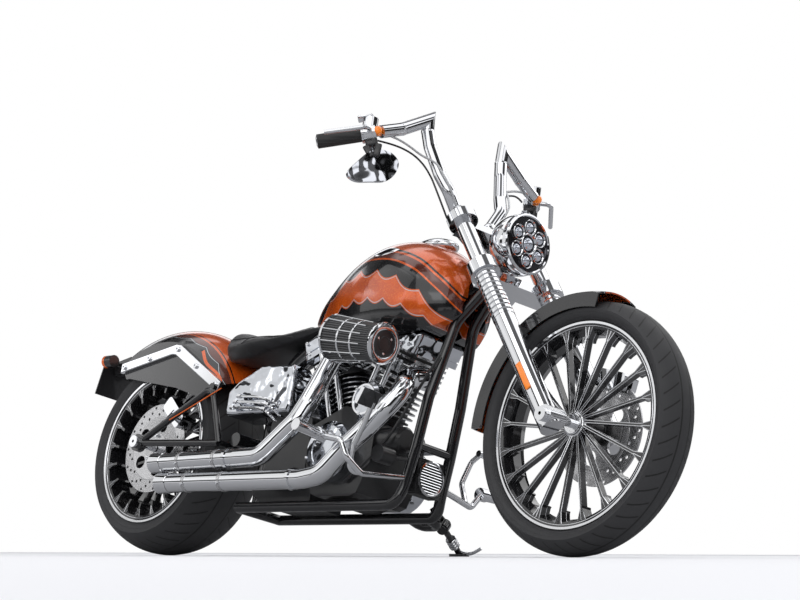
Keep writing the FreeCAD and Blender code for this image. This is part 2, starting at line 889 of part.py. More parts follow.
def make_fork_sliders():
    sliders = []
    for side in (-1, 1):
        foot = fork_point(V.slider_foot, V.fork_lead, side * V.fork_half_spacing)
        name = f"fork_slider_{'left' if side > 0 else 'right'}"
        outer = cylinder(name + "_barrel", "slider_radius", "slider_top - slider_foot", foot, STEER_UP)
        lug = cylinder(name + "_lug", "slider_lug_radius", "slider_radius * 2",
                       FRONT_AXLE + LEFT * (side * V.fork_half_spacing - V.slider_radius), LEFT)
        bore = cylinder(name + "_bore", "fork_tube_radius + bore_gap", "slider_bore_top + cut_over",
                        fork_point(V.slider_top - V.slider_bore_top - V.seat_gap, V.fork_lead,
                                   side * V.fork_half_spacing), STEER_UP)
        hole = cylinder(name + "_hole", "front_axle_radius + bore_gap", "slider_radius * 4",
                        FRONT_AXLE + LEFT * (side * V.fork_half_spacing - 2 * V.slider_radius), LEFT)
        blank = fused(name + "_blank", [outer, lug])
        sliders.append(cut(name, cut(name + "_bored", blank, bore), hole))
    return keep("fork", grouped("fork_sliders", sliders))


def make_fork_covers():
    """Sleeves over the tubes between the sliders and the lower clamp, with ringed flutes."""
    height = V.lower_clamp_low - V.slider_top - 2 * V.seat_gap
    count = int(height / V.cover_flute_pitch)
    pitch = height / count
    bore = V.fork_tube_radius + V.bore_gap
    outline = [Vector(0, 0, bore)]
    for i in range(count):
        outline += [Vector(i * pitch, 0, V.cover_radius), Vector((i + 0.65) * pitch, 0, V.cover_radius),
                    Vector((i + 0.82) * pitch, 0, V.cover_flute_radius)]
    outline += [Vector(height, 0, V.cover_radius), Vector(height, 0, bore)]
    covers = []
    for side in (-1, 1):
        sleeve = shaped(f"fork_cover_{'left' if side > 0 else 'right'}",
                        Part.Face(Part.makePolygon(outline + outline[:1])).revolve(Vector(), AHEAD, 360))
        sleeve.Placement = along(fork_point(V.slider_top + V.seat_gap, V.fork_lead,
                                            side * V.fork_half_spacing), STEER_UP)
        covers.append(sleeve)
    return keep("fork", grouped("fork_covers", covers))


def make_clamp(name, low, thickness):
    base = number(low)
    lugs = [cylinder(f"{name}_neck", "clamp_neck_radius", thickness, fork_point(base, 0, 0), STEER_UP)]
    for side in (-1, 1):
        lugs.append(cylinder(f"{name}_lug_{side + 1}", "clamp_lug_radius", thickness,
                             fork_point(base, V.fork_lead, side * V.fork_half_spacing), STEER_UP))
    centre = fork_point(base + number(thickness) / 2, V.clamp_web_lead, 0)
    lugs.append(box(f"{name}_web", "clamp_web", "fork_half_spacing * 2", thickness, centre, FORK_TURN))
    blank = fused(f"{name}_blank", lugs)
    for side in (-1, 1):
        hole = cylinder(f"{name}_hole_{side + 1}", "fork_tube_radius + bore_gap", "fork_top",
                        fork_point(base / 2, V.fork_lead, side * V.fork_half_spacing), STEER_UP)
        blank = cut(f"{name}_bored_{side + 1}", blank, hole)
    return blank


def make_triple_clamps():
    lower = make_clamp("lower_clamp", "lower_clamp_low", "lower_clamp_thickness")
    upper = make_clamp("upper_clamp", "upper_clamp_low", "upper_clamp_thickness")
    stem_foot = fork_point(V.lower_clamp_low + V.lower_clamp_thickness / 2, 0, 0)
    stem = cylinder("steering_stem", "stem_radius",
                    "upper_clamp_low + upper_clamp_thickness / 2 - lower_clamp_low"
                    " - lower_clamp_thickness / 2", stem_foot, STEER_UP)
    return keep("fork", fused("triple_clamps", [lower, upper, stem]))


make_fork_tubes()
make_fork_sliders()
make_fork_covers()
make_triple_clamps()


# Handlebar, grips, controls, mirrors and cables

BAR_UPRIGHT_SHARES = [(0.1423, 0.0122, 0.1182), (0.3389, 0.1241, 0.2477), (0.491, 0.137, 0.2864),
                      (0.7212, 0.1915, 0.3364), (0.8455, 0.2399, 0.3523)]
BAR_CORNER_SHARES = (0.9212, 0.2929, 0.3568)
BAR_RUN_SHARES = [(0.8032, 0.1942, 0.5682), (0.7519, 0.1291, 0.7273), (0.836, -0.2127, 1.0)]


def bar_spot(side, back, drop=0.0):
    """A point on the outer run of the bar, measured back from its end, and its direction."""
    inner, end = [bar_place(*shares, side) for shares in BAR_RUN_SHARES[-2:]]
    direction = (end - inner).normalize()
    return end - direction * back - UP * drop, direction


def make_handlebar():
    """Two bowed uprights that turn over a mitred point into the runs that hold the grips."""
    bars = []
    for side in (-1, 1):
        name = f"bar_{'left' if side > 0 else 'right'}"
        parts = []
        upright = [bar_place(*shares, side) for shares in BAR_UPRIGHT_SHARES]
        corner = bar_place(*BAR_CORNER_SHARES, side)
        run = [bar_place(*shares, side) for shares in BAR_RUN_SHARES]
        parts.append(pipe(name + "_upright", upright, "bar_radius", bend=V.bar_bend))
        parts.append(pipe(name + "_corner", [upright[-1], corner, run[0]], "bar_radius", mitred=True))
        parts.append(pipe(name + "_run", run[:2], "bar_radius"))
        parts.append(pipe(name + "_end", run[1:], "bar_end_radius"))
        for index, point in enumerate((upright[-1], run[0])):
            knuckle = doc.addObject("Part::Sphere", f"{name}_knuckle_{index}")
            bind(knuckle, "Radius", "bar_radius + weld_rise")
            knuckle.Placement.Base = point
            parts.append(knuckle)
        foot = fork_point(CLAMP_TOP + V.seat_gap, V.riser_lead, upright[0].y)
        parts.append(cylinder(name + "_riser", "riser_radius", "riser_rise", foot, STEER_UP))
        dome = doc.addObject("Part::Sphere", name + "_dome")
        bind(dome, "Radius", "riser_radius + weld_rise")
        dome.Placement.Base = foot + STEER_UP * V.riser_rise
        parts.append(dome)
        bars.append(joined(name, parts))
    return keep("fork", grouped("handlebar", bars))


def make_grips():
    grips = []
    for side in (-1, 1):
        name = f"grip_{'left' if side > 0 else 'right'}"
        end, direction = bar_spot(side, 0)
        outer = cylinder(name + "_sleeve", "grip_radius", "grip_length", end + direction * V.grip_end,
                         -direction)
        bore = cylinder(name + "_bore", "bar_end_radius + bore_gap", "grip_length + cut_over",
                        end + direction * V.seat_gap, -direction)
        grips.append(cut(name, outer, bore))
    return keep("fork", grouped("grips", grips))


def make_hand_controls():
    controls = []
    for side in (-1, 1):
        name = f"control_{'left' if side > 0 else 'right'}"
        start, direction = bar_spot(side, V.grip_length - V.grip_end + V.seat_gap)
        outer = cylinder(name + "_housing", "housing_radius", "housing_length", start, -direction)
        bore = cylinder(name + "_bore", "bar_end_radius + bore_gap", "housing_length + cut_over * 2",
                        start + direction * V.cut_over, -direction)
        forward = direction.cross(UP).normalize() * side
        knuckle = start - direction * (V.housing_length * 0.6) + forward * V.cup_radius
        bend = knuckle + forward * V.lever_reach
        tip = bend + direction * V.grip_length + forward * V.lever_radius
        lever = pipe(name + "_lever", [knuckle, bend, tip], "lever_radius", bend=V.lever_bend)
        cup = cylinder(name + "_cup", "cup_radius", "cup_height",
                       start - direction * V.cup_radius + UP * V.bar_end_radius, UP)
        controls.append(cut(name, fused(name + "_blank", [outer, lever, cup]), bore))
    return keep("fork", grouped("hand_controls", controls))


MIRROR_OUTLINE_SHARES = [(-0.5, 0.0), (-0.36, 0.36), (-0.08, 0.5), (0.22, 0.36), (0.5, 0.06),
                         (0.46, -0.08), (0.16, -0.34), (-0.14, -0.5), (-0.4, -0.34)]


def make_mirrors():
    """A teardrop housing on a stem that hangs under each hand control."""
    mirrors = []
    for side in (-1, 1):
        name = f"mirror_{'left' if side > 0 else 'right'}"
        start, direction = bar_spot(side, V.grip_length + V.housing_length / 2)
        fall = direction.cross(direction.cross(UP)).normalize()
        root = start + fall * (V.housing_radius + V.seat_gap)
        centre = Vector(V.mirror_back, side * V.mirror_side, V.mirror_up)
        arm = pipe(name + "_arm", [root, root + fall * V.mirror_arm_drop, centre], "mirror_arm_radius",
                   bend=V.lever_bend)
        spots = [Vector(a * V.mirror_length, b * V.mirror_height, 0) for a, b in MIRROR_OUTLINE_SHARES]
        curve = Part.BSplineCurve()
        curve.interpolate(spots, PeriodicFlag=True)
        plate = Part.Face(Part.Wire(curve.toShape())).extrude(Vector(0, 0, V.mirror_depth))
        toe = math.radians(V.mirror_toe_angle)
        back = Vector(-math.cos(toe), -side * math.sin(toe), 0)
        wide = UP.cross(back)
        turn = FreeCAD.Rotation(wide, UP, back, "ZXY").multiply(
            FreeCAD.Rotation(UP, side * V.mirror_tilt_angle))
        housing = shaped(name + "_housing", plate)
        housing.Placement = FreeCAD.Placement(centre - back * (V.mirror_depth / 2), turn)
        mirrors.append(fused(name, [arm, housing]))
    return keep("fork", grouped("mirrors", mirrors))


make_handlebar()
make_grips()
make_hand_controls()
make_mirrors()


# Headlamp, front fender and front caliper

def make_headlamp():
    shell = turned_part("headlamp_shell", [
        ("-headlamp_depth", 0), ("-headlamp_depth", "headlamp_radius * 0.3"),
        ("arc", "-headlamp_depth * 0.72", "headlamp_radius * 0.86"),
        ("-headlamp_rim", "headlamp_radius - headlamp_rim_step"), ("-headlamp_rim", "headlamp_radius"),
        ("0", "headlamp_radius"), ("0", "headlamp_radius - headlamp_glass_inset"),
        ("arc", "headlamp_glass_rise / 2", "headlamp_radius * 0.5"), ("headlamp_glass_rise", 0)])
    shell.Placement = along(Vector(V.headlamp_front, 0, V.headlamp_height), AHEAD)
    centre = Vector(V.headlamp_front - V.headlamp_depth * 0.6, 0, V.headlamp_height)
    over = (centre - STEER_POINT).dot(STEER_AHEAD)
    lead = V.head_tube_radius + V.moving_gap + V.headlamp_stem_radius
    foot = centre - STEER_AHEAD * (over - V.clamp_web_lead - V.clamp_web / 2 - V.seat_gap)
    low = (foot - STEER_POINT).dot(STEER_UP)
    stem_foot = fork_point(V.lower_clamp_low + V.lower_clamp_thickness + V.seat_gap, lead, 0)
    rise = low - V.lower_clamp_low - V.lower_clamp_thickness
    post = cylinder("headlamp_post", "headlamp_stem_radius", rise, stem_foot, STEER_UP)
    top = stem_foot + STEER_UP * rise
    arm = cylinder("headlamp_arm", "headlamp_stem_radius", (centre - top).Length, top, centre - top)
    return keep("fork", fused("headlamp", [shell, post, arm]))


def fender_shell(name, radius, half, crown, skirt, wall, first, last, axle):
    """A fender as a bent section turned about the axle through part of a circle."""
    sag = crown - math.sqrt(crown ** 2 - half ** 2)
    edge = radius - sag
    low = edge - skirt
    inner_half = half - wall
    section = Part.Wire([
        Part.Arc(Vector(0, -half, edge), Vector(0, 0, radius), Vector(0, half, edge)).toShape(),
        Part.LineSegment(Vector(0, half, edge), Vector(0, half, low)).toShape(),
        Part.LineSegment(Vector(0, half, low), Vector(0, inner_half, low)).toShape(),
        Part.LineSegment(Vector(0, inner_half, low), Vector(0, inner_half, edge - wall)).toShape(),
        Part.Arc(Vector(0, inner_half, edge - wall), Vector(0, 0, radius - wall),
                 Vector(0, -inner_half, edge - wall)).toShape(),
        Part.LineSegment(Vector(0, -inner_half, edge - wall), Vector(0, -inner_half, low)).toShape(),
        Part.LineSegment(Vector(0, -inner_half, low), Vector(0, -half, low)).toShape(),
        Part.LineSegment(Vector(0, -half, low), Vector(0, -half, edge)).toShape()])
    face = Part.Face(section)
    face.rotate(Vector(), LEFT, 90 - first)
    solid = face.revolve(Vector(), LEFT, first - last)
    solid.translate(axle)
    return solid


def make_front_fender():
    radius = V.front_tyre_radius + V.front_fender_gap
    shell = fender_shell("front_fender", radius, V.front_fender_half_width, V.front_fender_crown,
                         V.front_fender_skirt, V.fender_wall, V.front_fender_front_angle,
                         V.front_fender_rear_angle, FRONT_AXLE)
    fender = shaped("front_fender_shell", shell)
    tabs = []
    for side in (-1, 1):
        inner = V.front_fender_half_width - V.fender_wall / 2
        outer = V.fork_half_spacing - V.slider_radius - V.seat_gap
        centre = fork_point(V.front_fender_mount, V.fork_lead, side * (inner + outer) / 2)
        tabs.append(box(f"front_fender_tab_{side + 1}", "fender_tab_length", outer - inner,
                        "fender_tab_height", centre, FORK_TURN))
    return keep("fork", fused("front_fender", [fender] + tabs))


def caliper(name, centre, out, disc_side, disc_offset, disc_radius, foot):
    """Two cheeks bridged over a disc's edge, with a foot out to what carries them."""
    ride = LEFT.cross(out)
    turn = FreeCAD.Rotation(ride, LEFT, out, "ZXY")
    room = V.disc_thickness / 2 + V.moving_gap
    wide = room + V.caliper_cheek
    middle = centre + LEFT * (disc_side * disc_offset)
    block = box(name + "_block", "caliper_half_length * 2", wide * 2, "caliper_depth", middle, turn)
    slot = box(name + "_slot", V.caliper_half_length * 2 + V.cut_over, room * 2,
               "caliper_depth", middle - out * V.caliper_bridge, turn)
    body = cut(name + "_cheeks", rounded(name + "_rounded", block, V.caliper_corner,
                                         lambda e: abs((e.Vertexes[1].Point - e.Vertexes[0].Point)
                                                       .normalize().dot(LEFT)) > 0.99), slot)
    start = middle + LEFT * (disc_side * (wide - V.caliper_cheek / 2))
    lug = cylinder(name + "_lug", "caliper_corner", (foot - start).Length, start, foot - start)
    return fused(name + "_blank", [body, lug])


def make_front_caliper():
    """The caliper behind the left fork leg, on the leg's own lug."""
    out = (STEER_AHEAD * 0.75 + STEER_UP * 0.66).normalize()
    centre = FRONT_AXLE + out * (V.front_disc_radius - V.caliper_depth / 2 + V.caliper_bridge + V.moving_gap)
    height = (centre - STEER_POINT).dot(STEER_UP)
    foot = fork_point(height, V.fork_lead, V.fork_half_spacing)
    blank = caliper("front_caliper", centre, out, 1, V.front_disc_offset, V.front_disc_radius, foot)
    leg = cylinder("front_caliper_leg", "slider_radius + seat_gap", "slider_top - slider_foot",
                   fork_point(V.slider_foot, V.fork_lead, V.fork_half_spacing), STEER_UP)
    return keep("fork", cut("front_caliper", blank, leg))


make_headlamp()
make_front_fender()
make_front_caliper()


# Main frame

BACKBONE_SHARES = [(1.2727, 0.0, 0.8124), (0.8636, 0.0, 0.7996), (0.6841, 0.0, 0.7058), (0.5739, 0.0, 0.6333), (0.5091, 0.0, 0.5011), (0.5091, 0.0, 0.1343)]
BACKBONE = ([fork_point(V.lower_clamp_low + V.lower_clamp_thickness + 2 * V.cut_over, 0, 0)]
            + route(BACKBONE_SHARES))
DOWNTUBE_SHARES = [(1.3716, 0.2222, 0.7143), (1.333, 0.4136, 0.4691), (1.3148, 0.4383, 0.3092), (1.2943, 0.463, 0.1919)]
REAR_POST = V.rear_post_ahead
RAIL = V.rail_half_spacing
RAIL_Z = V.rail_height


def cradle_route(side):
    """One side of the cradle: head tube, downtube, bottom rail."""
    head = fork_point(V.lower_clamp_low + V.lower_clamp_thickness + V.cut_over, 0, side * V.stem_radius)
    tubes = route(DOWNTUBE_SHARES, side)
    front = Vector(tubes[-1].x - V.frame_tube_radius, side * RAIL, RAIL_Z)
    return [head] + tubes + [front, Vector(REAR_POST, side * RAIL, RAIL_Z)]


def cradle_room(side, grow):
    """One side of the cradle grown all round, to cut what meets it."""
    way = cradle_route(side)
    ring = Part.Wire(Part.makeCircle(V.frame_tube_radius + grow, way[0], way[1] - way[0]))
    return round_route(way, V.cradle_bend).makePipeShell([ring], True, False)


# The stand's pin leans so that the leg, swung back about it, comes to lie along the rail
STAND_PIVOT = Vector(V.stand_pivot_ahead, V.stand_pivot_side, V.stand_pivot_height)
STAND_FOOT = STAND_PIVOT + Vector(-V.stand_foot_back, V.stand_foot_out, -V.stand_foot_drop)
LEG_WAY = (STAND_FOOT - STAND_PIVOT).normalize()
FOLDED_WAY = Vector(-1, 0, 0.05).normalize()


def stand_axis():
    swing = LEG_WAY - FOLDED_WAY
    axis = Vector(-0.3, 0.6, 0)
    axis.z = -(axis.x * swing.x + axis.y * swing.y) / swing.z
    return axis.normalize()


STAND_AXIS = stand_axis()


def make_frame():
    parts = []
    backbone = pipe("backbone", BACKBONE, "backbone_radius", bend=V.backbone_bend)
    for side in (-1, 1):
        name = "left" if side > 0 else "right"
        parts.append(pipe(f"cradle_{name}", cradle_route(side), "frame_tube_radius", bend=V.cradle_bend))
    parts.append(pipe("cradle_rear_cross", [Vector(REAR_POST, -RAIL, RAIL_Z), Vector(REAR_POST, RAIL, RAIL_Z)],
                      "frame_tube_radius"))
    parts.append(cylinder("pivot_tube", "pivot_tube_radius", "arm_half_spacing * 2 - arm_tube_radius * 4",
                          Vector(REAR_POST, 2 * V.arm_tube_radius - V.arm_half_spacing, V.pivot_height), LEFT))
    head = cylinder("head_tube", "head_tube_radius",
                    "upper_clamp_low - lower_clamp_low - lower_clamp_thickness - head_tube_gap * 2",
                    fork_point(V.lower_clamp_low + V.lower_clamp_thickness + V.head_tube_gap, 0, 0), STEER_UP)
    bore = cylinder("head_bore", "stem_radius + bore_gap", "fork_top",
                    fork_point(V.fork_top / 2, 0, 0), STEER_UP)
    cross = route(DOWNTUBE_SHARES)[2]
    parts.append(cylinder("engine_cross", "engine_cross_radius", 2 * cross.y,
                          Vector(cross.x, -cross.y, V.engine_cross_height), LEFT))
    mount_front = V.crank_ahead + V.case_half_length + V.seat_gap
    parts.append(box("engine_front_mount", cross.x - mount_front, "front_mount_half_width * 2",
                     "mount_plate", Vector((cross.x + mount_front) / 2, 0, V.engine_cross_height)))
    mount_rear = V.gearbox_rear - V.seat_gap
    parts.append(box("gearbox_mount", mount_rear - REAR_POST, "rear_mount_half_width * 2",
                     "rear_mount_height", Vector((mount_rear + REAR_POST) / 2, 0, V.pivot_height)))
    carrier_y, carrier_z = V.stand_carrier_side, V.stand_carrier_height
    ahead_end = STAND_PIVOT.x + V.stand_carrier_run
    rear_end = STAND_PIVOT.x - 2 * V.stand_carrier_run
    parts.append(pipe("stand_carrier", [
        Vector(ahead_end, RAIL, RAIL_Z), Vector(ahead_end, carrier_y, carrier_z),
        Vector(rear_end, carrier_y, carrier_z), Vector(rear_end, RAIL, RAIL_Z)],
        "frame_tube_radius", bend=V.stand_bend))
    for end in (-1, 1):
        disc = STAND_PIVOT + STAND_AXIS * (end * (V.stand_knuckle_half + V.seat_gap))
        parts.append(cylinder(f"stand_lug_{end + 1}", "stand_lug_radius", "stand_lug_thickness",
                              disc, STAND_AXIS * end))
        eye = disc + STAND_AXIS * (end * V.stand_lug_thickness / 2)
        inward = (STAND_AXIS * STAND_AXIS.y - LEFT).normalize()
        reach = V.stand_upper_tab if end > 0 else V.stand_lower_tab
        turn = FreeCAD.Rotation(inward, STAND_AXIS.cross(inward), STAND_AXIS, "ZXY")
        parts.append(box(f"stand_tab_{end + 1}", reach, "stand_pivot_radius", "stand_lug_thickness",
                         eye + inward * (reach / 2), turn))
        if end > 0:
            top = eye + inward * (reach - V.stand_lug_thickness)
            parts.append(pipe("stand_post", [Vector(top.x, carrier_y, carrier_z), top],
                              "stand_lug_thickness"))
    parts.append(cylinder("stand_pin", "stand_pin_radius", "stand_knuckle_half * 2 + stand_lug_thickness",
                          STAND_PIVOT - STAND_AXIS * (V.stand_knuckle_half + V.stand_lug_thickness / 2),
                          STAND_AXIS))
    return keep("frame", cut("main_frame", joined("frame_blank", [backbone, head] + parts), bore))


ARM_CORNER_SHARES = (0.3659, 0.0, 0.5245)
ARM_STRUT_SHARES = (0.3568, 0.0, 0.5267)
ARM_PIVOT_SHARES = (0.4545, 0.0, 0.3305)


def make_rear_fork():
    parts = []
    for side in (-1, 1):
        name = "left" if side > 0 else "right"
        y = side * V.arm_half_spacing
        out = LEFT * y
        axle = REAR_AXLE + out
        boss = cylinder(f"arm_boss_{name}", "arm_boss_radius", "arm_tube_radius * 2",
                        axle - LEFT * V.arm_tube_radius, LEFT)
        corner = place(*ARM_CORNER_SHARES) + out
        pivot = place(*ARM_PIVOT_SHARES) + out
        parts.append(boss)
        strut_face = side * (V.rear_fender_half_width + 2 * V.seat_gap + V.strut_thickness)
        parts.append(cylinder(f"strut_boss_{name}", "arm_strut_boss_radius", abs(y - strut_face),
                              place(*ARM_STRUT_SHARES) + LEFT * strut_face, LEFT * side))
        parts.append(pipe(f"arm_lower_{name}", [axle, pivot], "arm_tube_radius"))
        parts.append(pipe(f"arm_upper_{name}", [axle, corner, pivot], "arm_tube_radius", bend=V.arm_bend))
    cross = place(*ARM_PIVOT_SHARES)
    span = V.arm_half_spacing
    parts.append(pipe("arm_cross", [cross - LEFT * span, cross + LEFT * span], "arm_tube_radius"))
    blank = fused("rear_fork_blank", parts)
    hole = cylinder("arm_hole", "rear_axle_radius + bore_gap", "arm_half_spacing * 4",
                    REAR_AXLE - LEFT * (2 * span), LEFT)
    return keep("frame", cut("rear_fork", blank, hole))


def make_rear_caliper():
    """The caliper over the rear disc, with its lug on the upper tube of the rear fork."""
    corner = place(*ARM_CORNER_SHARES)
    way = (corner - REAR_AXLE).normalize()
    out = (way + UP * 0.55).normalize()
    centre = REAR_AXLE + out * (V.rear_disc_radius - V.caliper_depth / 2 + V.caliper_bridge + V.moving_gap)
    foot = REAR_AXLE + way * V.rear_disc_radius - LEFT * V.arm_half_spacing
    blank = caliper("rear_caliper", centre, out, -1, V.rear_disc_offset, V.rear_disc_radius, foot)
    tube = cylinder("rear_caliper_tube", "arm_tube_radius + seat_gap", 2 * V.rear_disc_radius,
                    REAR_AXLE - LEFT * V.arm_half_spacing, way)
    return keep("frame", cut("rear_caliper", blank, tube))


make_frame()
make_rear_fork()
make_rear_caliper()


# Rear fender, struts and plate bracket

FENDER_TRIM_SHARES = [(-0.4773, 0.5757), (-0.1818, 0.5928), (0.1136, 0.5437), (0.3409, 0.4797), (0.4773, 0.4478), (0.4773, 0.0), (-0.4773, 0.0)]
STRUT_SHARES = [(0.3807, 0.5458), (0.1136, 0.693), (0.0886, 0.6972), (-0.2216, 0.6461), (-0.2216, 0.6119), (0.0705, 0.661), (0.0932, 0.6588),
                (0.3659, 0.5139)]
PLATE_ARM_SHARES = [(-0.2591, 0.6951), (-0.2727, 0.6716), (-0.425, 0.6461), (-0.4364, 0.6823), (-0.4318, 0.6951), (-0.3409, 0.7122)]
PLATE_SHARES = [(-0.4295, 0.6972), (-0.4591, 0.5672)]
SIGNAL_SHARES = (-0.375, 0.0, 0.678)


def make_rear_fender():
    shell = fender_shell("rear_fender", V.rear_fender_radius, V.rear_fender_half_width,
                         V.rear_fender_crown, V.rear_fender_skirt, V.fender_wall,
                         V.rear_fender_front_angle, V.rear_fender_rear_angle, REAR_AXLE)
    tool = side_face(FENDER_TRIM_SHARES, V.rear_fender_half_width + V.cut_over)
    return keep("frame", shaped("rear_fender", shell.cut(tool)))


def make_struts():
    half = V.strut_thickness / 2
    struts = []
    for side in (-1, 1):
        bar = side_face(STRUT_SHARES, half, side * (V.rear_fender_half_width + V.seat_gap + half))
        outer = side * (V.rear_fender_half_width + V.seat_gap + V.strut_thickness)
        edges = [e for e in bar.Edges if all(abs(v.Point.y - outer) < V.seat_gap for v in e.Vertexes)]
        struts.append(shaped(f"strut_{'left' if side > 0 else 'right'}",
                             bar.makeFillet(V.strut_edge, edges)))
    return keep("frame", grouped("fender_struts", struts))


def make_plate_bracket():
    """An arm out from under the fender's tail, with a blank plate and two small signal lamps."""
    arm = side_face(PLATE_ARM_SHARES, V.plate_arm_half_width)
    high, low = [place(ahead, 0, height) for ahead, height in PLATE_SHARES]
    back = (low - high).cross(LEFT).normalize() * V.plate_thickness
    corners = [high, low, low + back, high + back, high]
    plate = Part.Face(Part.makePolygon(corners)).extrude(LEFT * 2 * V.plate_half_width)
    plate.translate(-LEFT * V.plate_half_width)
    spot = place(*SIGNAL_SHARES)
    bar = Part.makeCylinder(V.control_rod_radius, 2 * V.signal_half_spacing,
                            spot - LEFT * V.signal_half_spacing, LEFT)
    lamps = [Part.makeCylinder(V.signal_radius, V.signal_length, spot + LEFT * side * V.signal_half_spacing
                               + AHEAD * (V.signal_length / 2), -AHEAD) for side in (-1, 1)]
    joined = arm.fuse([plate, bar] + lamps)
    fender = fender_shell("plate_tool", V.rear_fender_radius + V.seat_gap,
                          V.rear_fender_half_width + V.seat_gap, V.rear_fender_crown + V.seat_gap,
                          V.rear_fender_skirt, V.fender_wall + 2 * V.seat_gap,
                          V.rear_fender_front_angle, V.rear_fender_rear_angle + V.fender_tool_over_angle,
                          REAR_AXLE)
    solids = joined.cut(fender).Solids
    return keep("frame", shaped("plate_bracket", max(solids, key=lambda s: s.Volume)))


make_rear_fender()
make_struts()
make_plate_bracket()


# Tank, console and seat

TANK_STATION_SHARES = [(0.6818, 0.1543, 0.7942, 0.7516), (0.7727, 0.4321, 0.8838, 0.7164), (0.8864, 0.7099, 0.9531, 0.6876), (1.0227, 0.9259, 1.0, 0.6738),
                       (1.1591, 1.0, 1.0, 0.6663), (1.2727, 0.9259, 0.968, 0.6695), (1.3636, 0.6667, 0.9083, 0.6983),
                       (1.4091, 0.3704, 0.8443, 0.7356)]
SEAT_STATION_SHARES = [(0.2977, 0.3704, 0.7527, 0.6951), (0.3295, 0.7284, 0.7591, 0.6354), (0.3864, 0.8765, 0.7356, 0.6269), (0.475, 0.9259, 0.7175, 0.6482),
                       (0.5682, 0.7778, 0.7186, 0.6759), (0.6591, 0.5432, 0.7441, 0.71), (0.7364, 0.3086, 0.7697, 0.7356)]
SECTION_SHARES = [(0.82, 0.0), (1.0, 0.42), (0.72, 0.82)]


def station(x, half, high, low):
    """A closed section of one smooth arch and a flat bottom at one place along the machine."""
    right = [Vector(x, -half * out, low + (high - low) * up) for out, up in SECTION_SHARES]
    arch = right + [Vector(x, 0, high)] + [Vector(p.x, -p.y, p.z) for p in reversed(right)]
    top = Part.BSplineCurve()
    top.interpolate(arch)
    return Part.Wire([top.toShape(), Part.LineSegment(arch[-1], arch[0]).toShape()])


def stations(shares, grow=0.0):
    """The sections of a loft from shares, or of the same loft grown all round."""
    rows = [[ahead * V.crank_ahead, half * V.tank_half_width + grow, high * V.tank_top + grow,
             low * V.tank_top - grow] for ahead, half, high, low in shares]
    rows[0][0] -= grow
    return [station(*row) for row in rows]


def tank_loft(grow=0.0):
    """The tank's outer form, or the same form grown all round for what must clear it."""
    return Part.makeLoft(stations(TANK_STATION_SHARES, grow), True, False)


def backbone_room(grow):
    """The room that the backbone tube needs, open downward."""
    top = round_route(BACKBONE, V.backbone_bend)
    line = [p for p in top.discretize(Number=60) if p.z > V.backbone_room_top]
    radius = V.backbone_radius + grow
    ring = Part.Wire(Part.makeCircle(radius, BACKBONE[0], BACKBONE[1] - BACKBONE[0]))
    tube = top.makePipeShell([ring], True, False)
    low = V.backbone_room_low
    drop = Part.makePolygon(line + [Vector(line[-1].x, 0, low), Vector(line[0].x, 0, low), line[0]])
    below = Part.Face(drop).extrude(LEFT * 2 * radius)
    below.translate(-LEFT * radius)
    return tube, below


def vee_room(grow):
    """The room that each head and rocker cover needs under the tank."""
    rooms = []
    for axis in CYLINDER_AXES.values():
        side_way = Vector(axis.z, 0, -axis.x)
        low = V.vee_room_low
        top = V.deck_height + V.barrel_height + V.head_height + V.rocker_height + grow
        wide = V.rocker_half_length + grow
        corners = [side_way * wide + axis * low, side_way * wide + axis * top,
                   side_way * -wide + axis * top, side_way * -wide + axis * low]
        wire = Part.makePolygon([CRANK + c for c in corners + corners[:1]])
        room = Part.Face(wire).extrude(LEFT * 2 * (V.rocker_half_width + grow))
        room.translate(-LEFT * (V.rocker_half_width + grow))
        rooms.append(room)
    return rooms


def neck_room(grow):
    """The room that the head tube and the upper ends of the cradle tubes need."""
    radius = V.head_tube_radius + grow
    rooms = [Part.makeCylinder(radius, V.neck_room_length, fork_point(V.neck_room_start, 0, 0), STEER_UP)]
    for side in (-1, 1):
        way = cradle_route(side)[:4]
        ring = Part.Wire(Part.makeCircle(V.frame_tube_radius + grow, way[0], way[1] - way[0]))
        rooms.append(round_route(way, V.cradle_bend).makePipeShell([ring], True, False))
    foot = Part.makePolygon([Vector(V.neck_room_rear, 0, V.neck_room_low),
                             fork_point(V.neck_room_top, -V.neck_room_half, 0),
                             fork_point(V.neck_room_top, V.neck_room_half, 0),
                             Vector(V.neck_room_front, 0, V.neck_room_low),
                             Vector(V.neck_room_rear, 0, V.neck_room_low)])
    between = Part.Face(foot).extrude(LEFT * 2 * radius)
    between.translate(-LEFT * radius)
    return rooms + [between]


def make_tank():
    tank = tank_loft().cut([*neck_room(V.tank_room), *backbone_room(V.seat_gap), *vee_room(V.tank_room)])
    return keep("frame", shaped("fuel_tank", max(tank.Solids, key=lambda s: s.Volume)))


def make_console():
    """A chrome dome over the tank's top, cut to the tank with a fine gap."""
    scale = FreeCAD.Matrix(V.console_half_length, 0, 0, V.console_ahead, 0, V.console_half_width, 0, 0,
                           0, 0, V.console_rise, V.console_height)
    dome = Part.makeSphere(1).transformGeometry(scale)
    solids = dome.cut(tank_loft(V.seat_gap)).Solids
    return keep("frame", shaped("tank_console", max(solids, key=lambda s: s.Volume)))


def make_seat():
    loft = Part.makeLoft(stations(SEAT_STATION_SHARES), True, False)
    fender = fender_shell("seat_tool", V.rear_fender_radius + V.seat_gap,
                          V.rear_fender_half_width + V.seat_gap, V.rear_fender_crown + V.seat_gap,
                          V.rear_fender_skirt, V.fender_tool_wall, V.fender_tool_front_angle,
                          V.fender_tool_rear_angle, REAR_AXLE)
    seat = loft.cut([fender, tank_loft(V.seat_gap), *backbone_room(V.seat_gap)])
    return keep("frame", shaped("seat", max(seat.Solids, key=lambda s: s.Volume)))


make_tank()
make_console()
make_seat()


# Engine

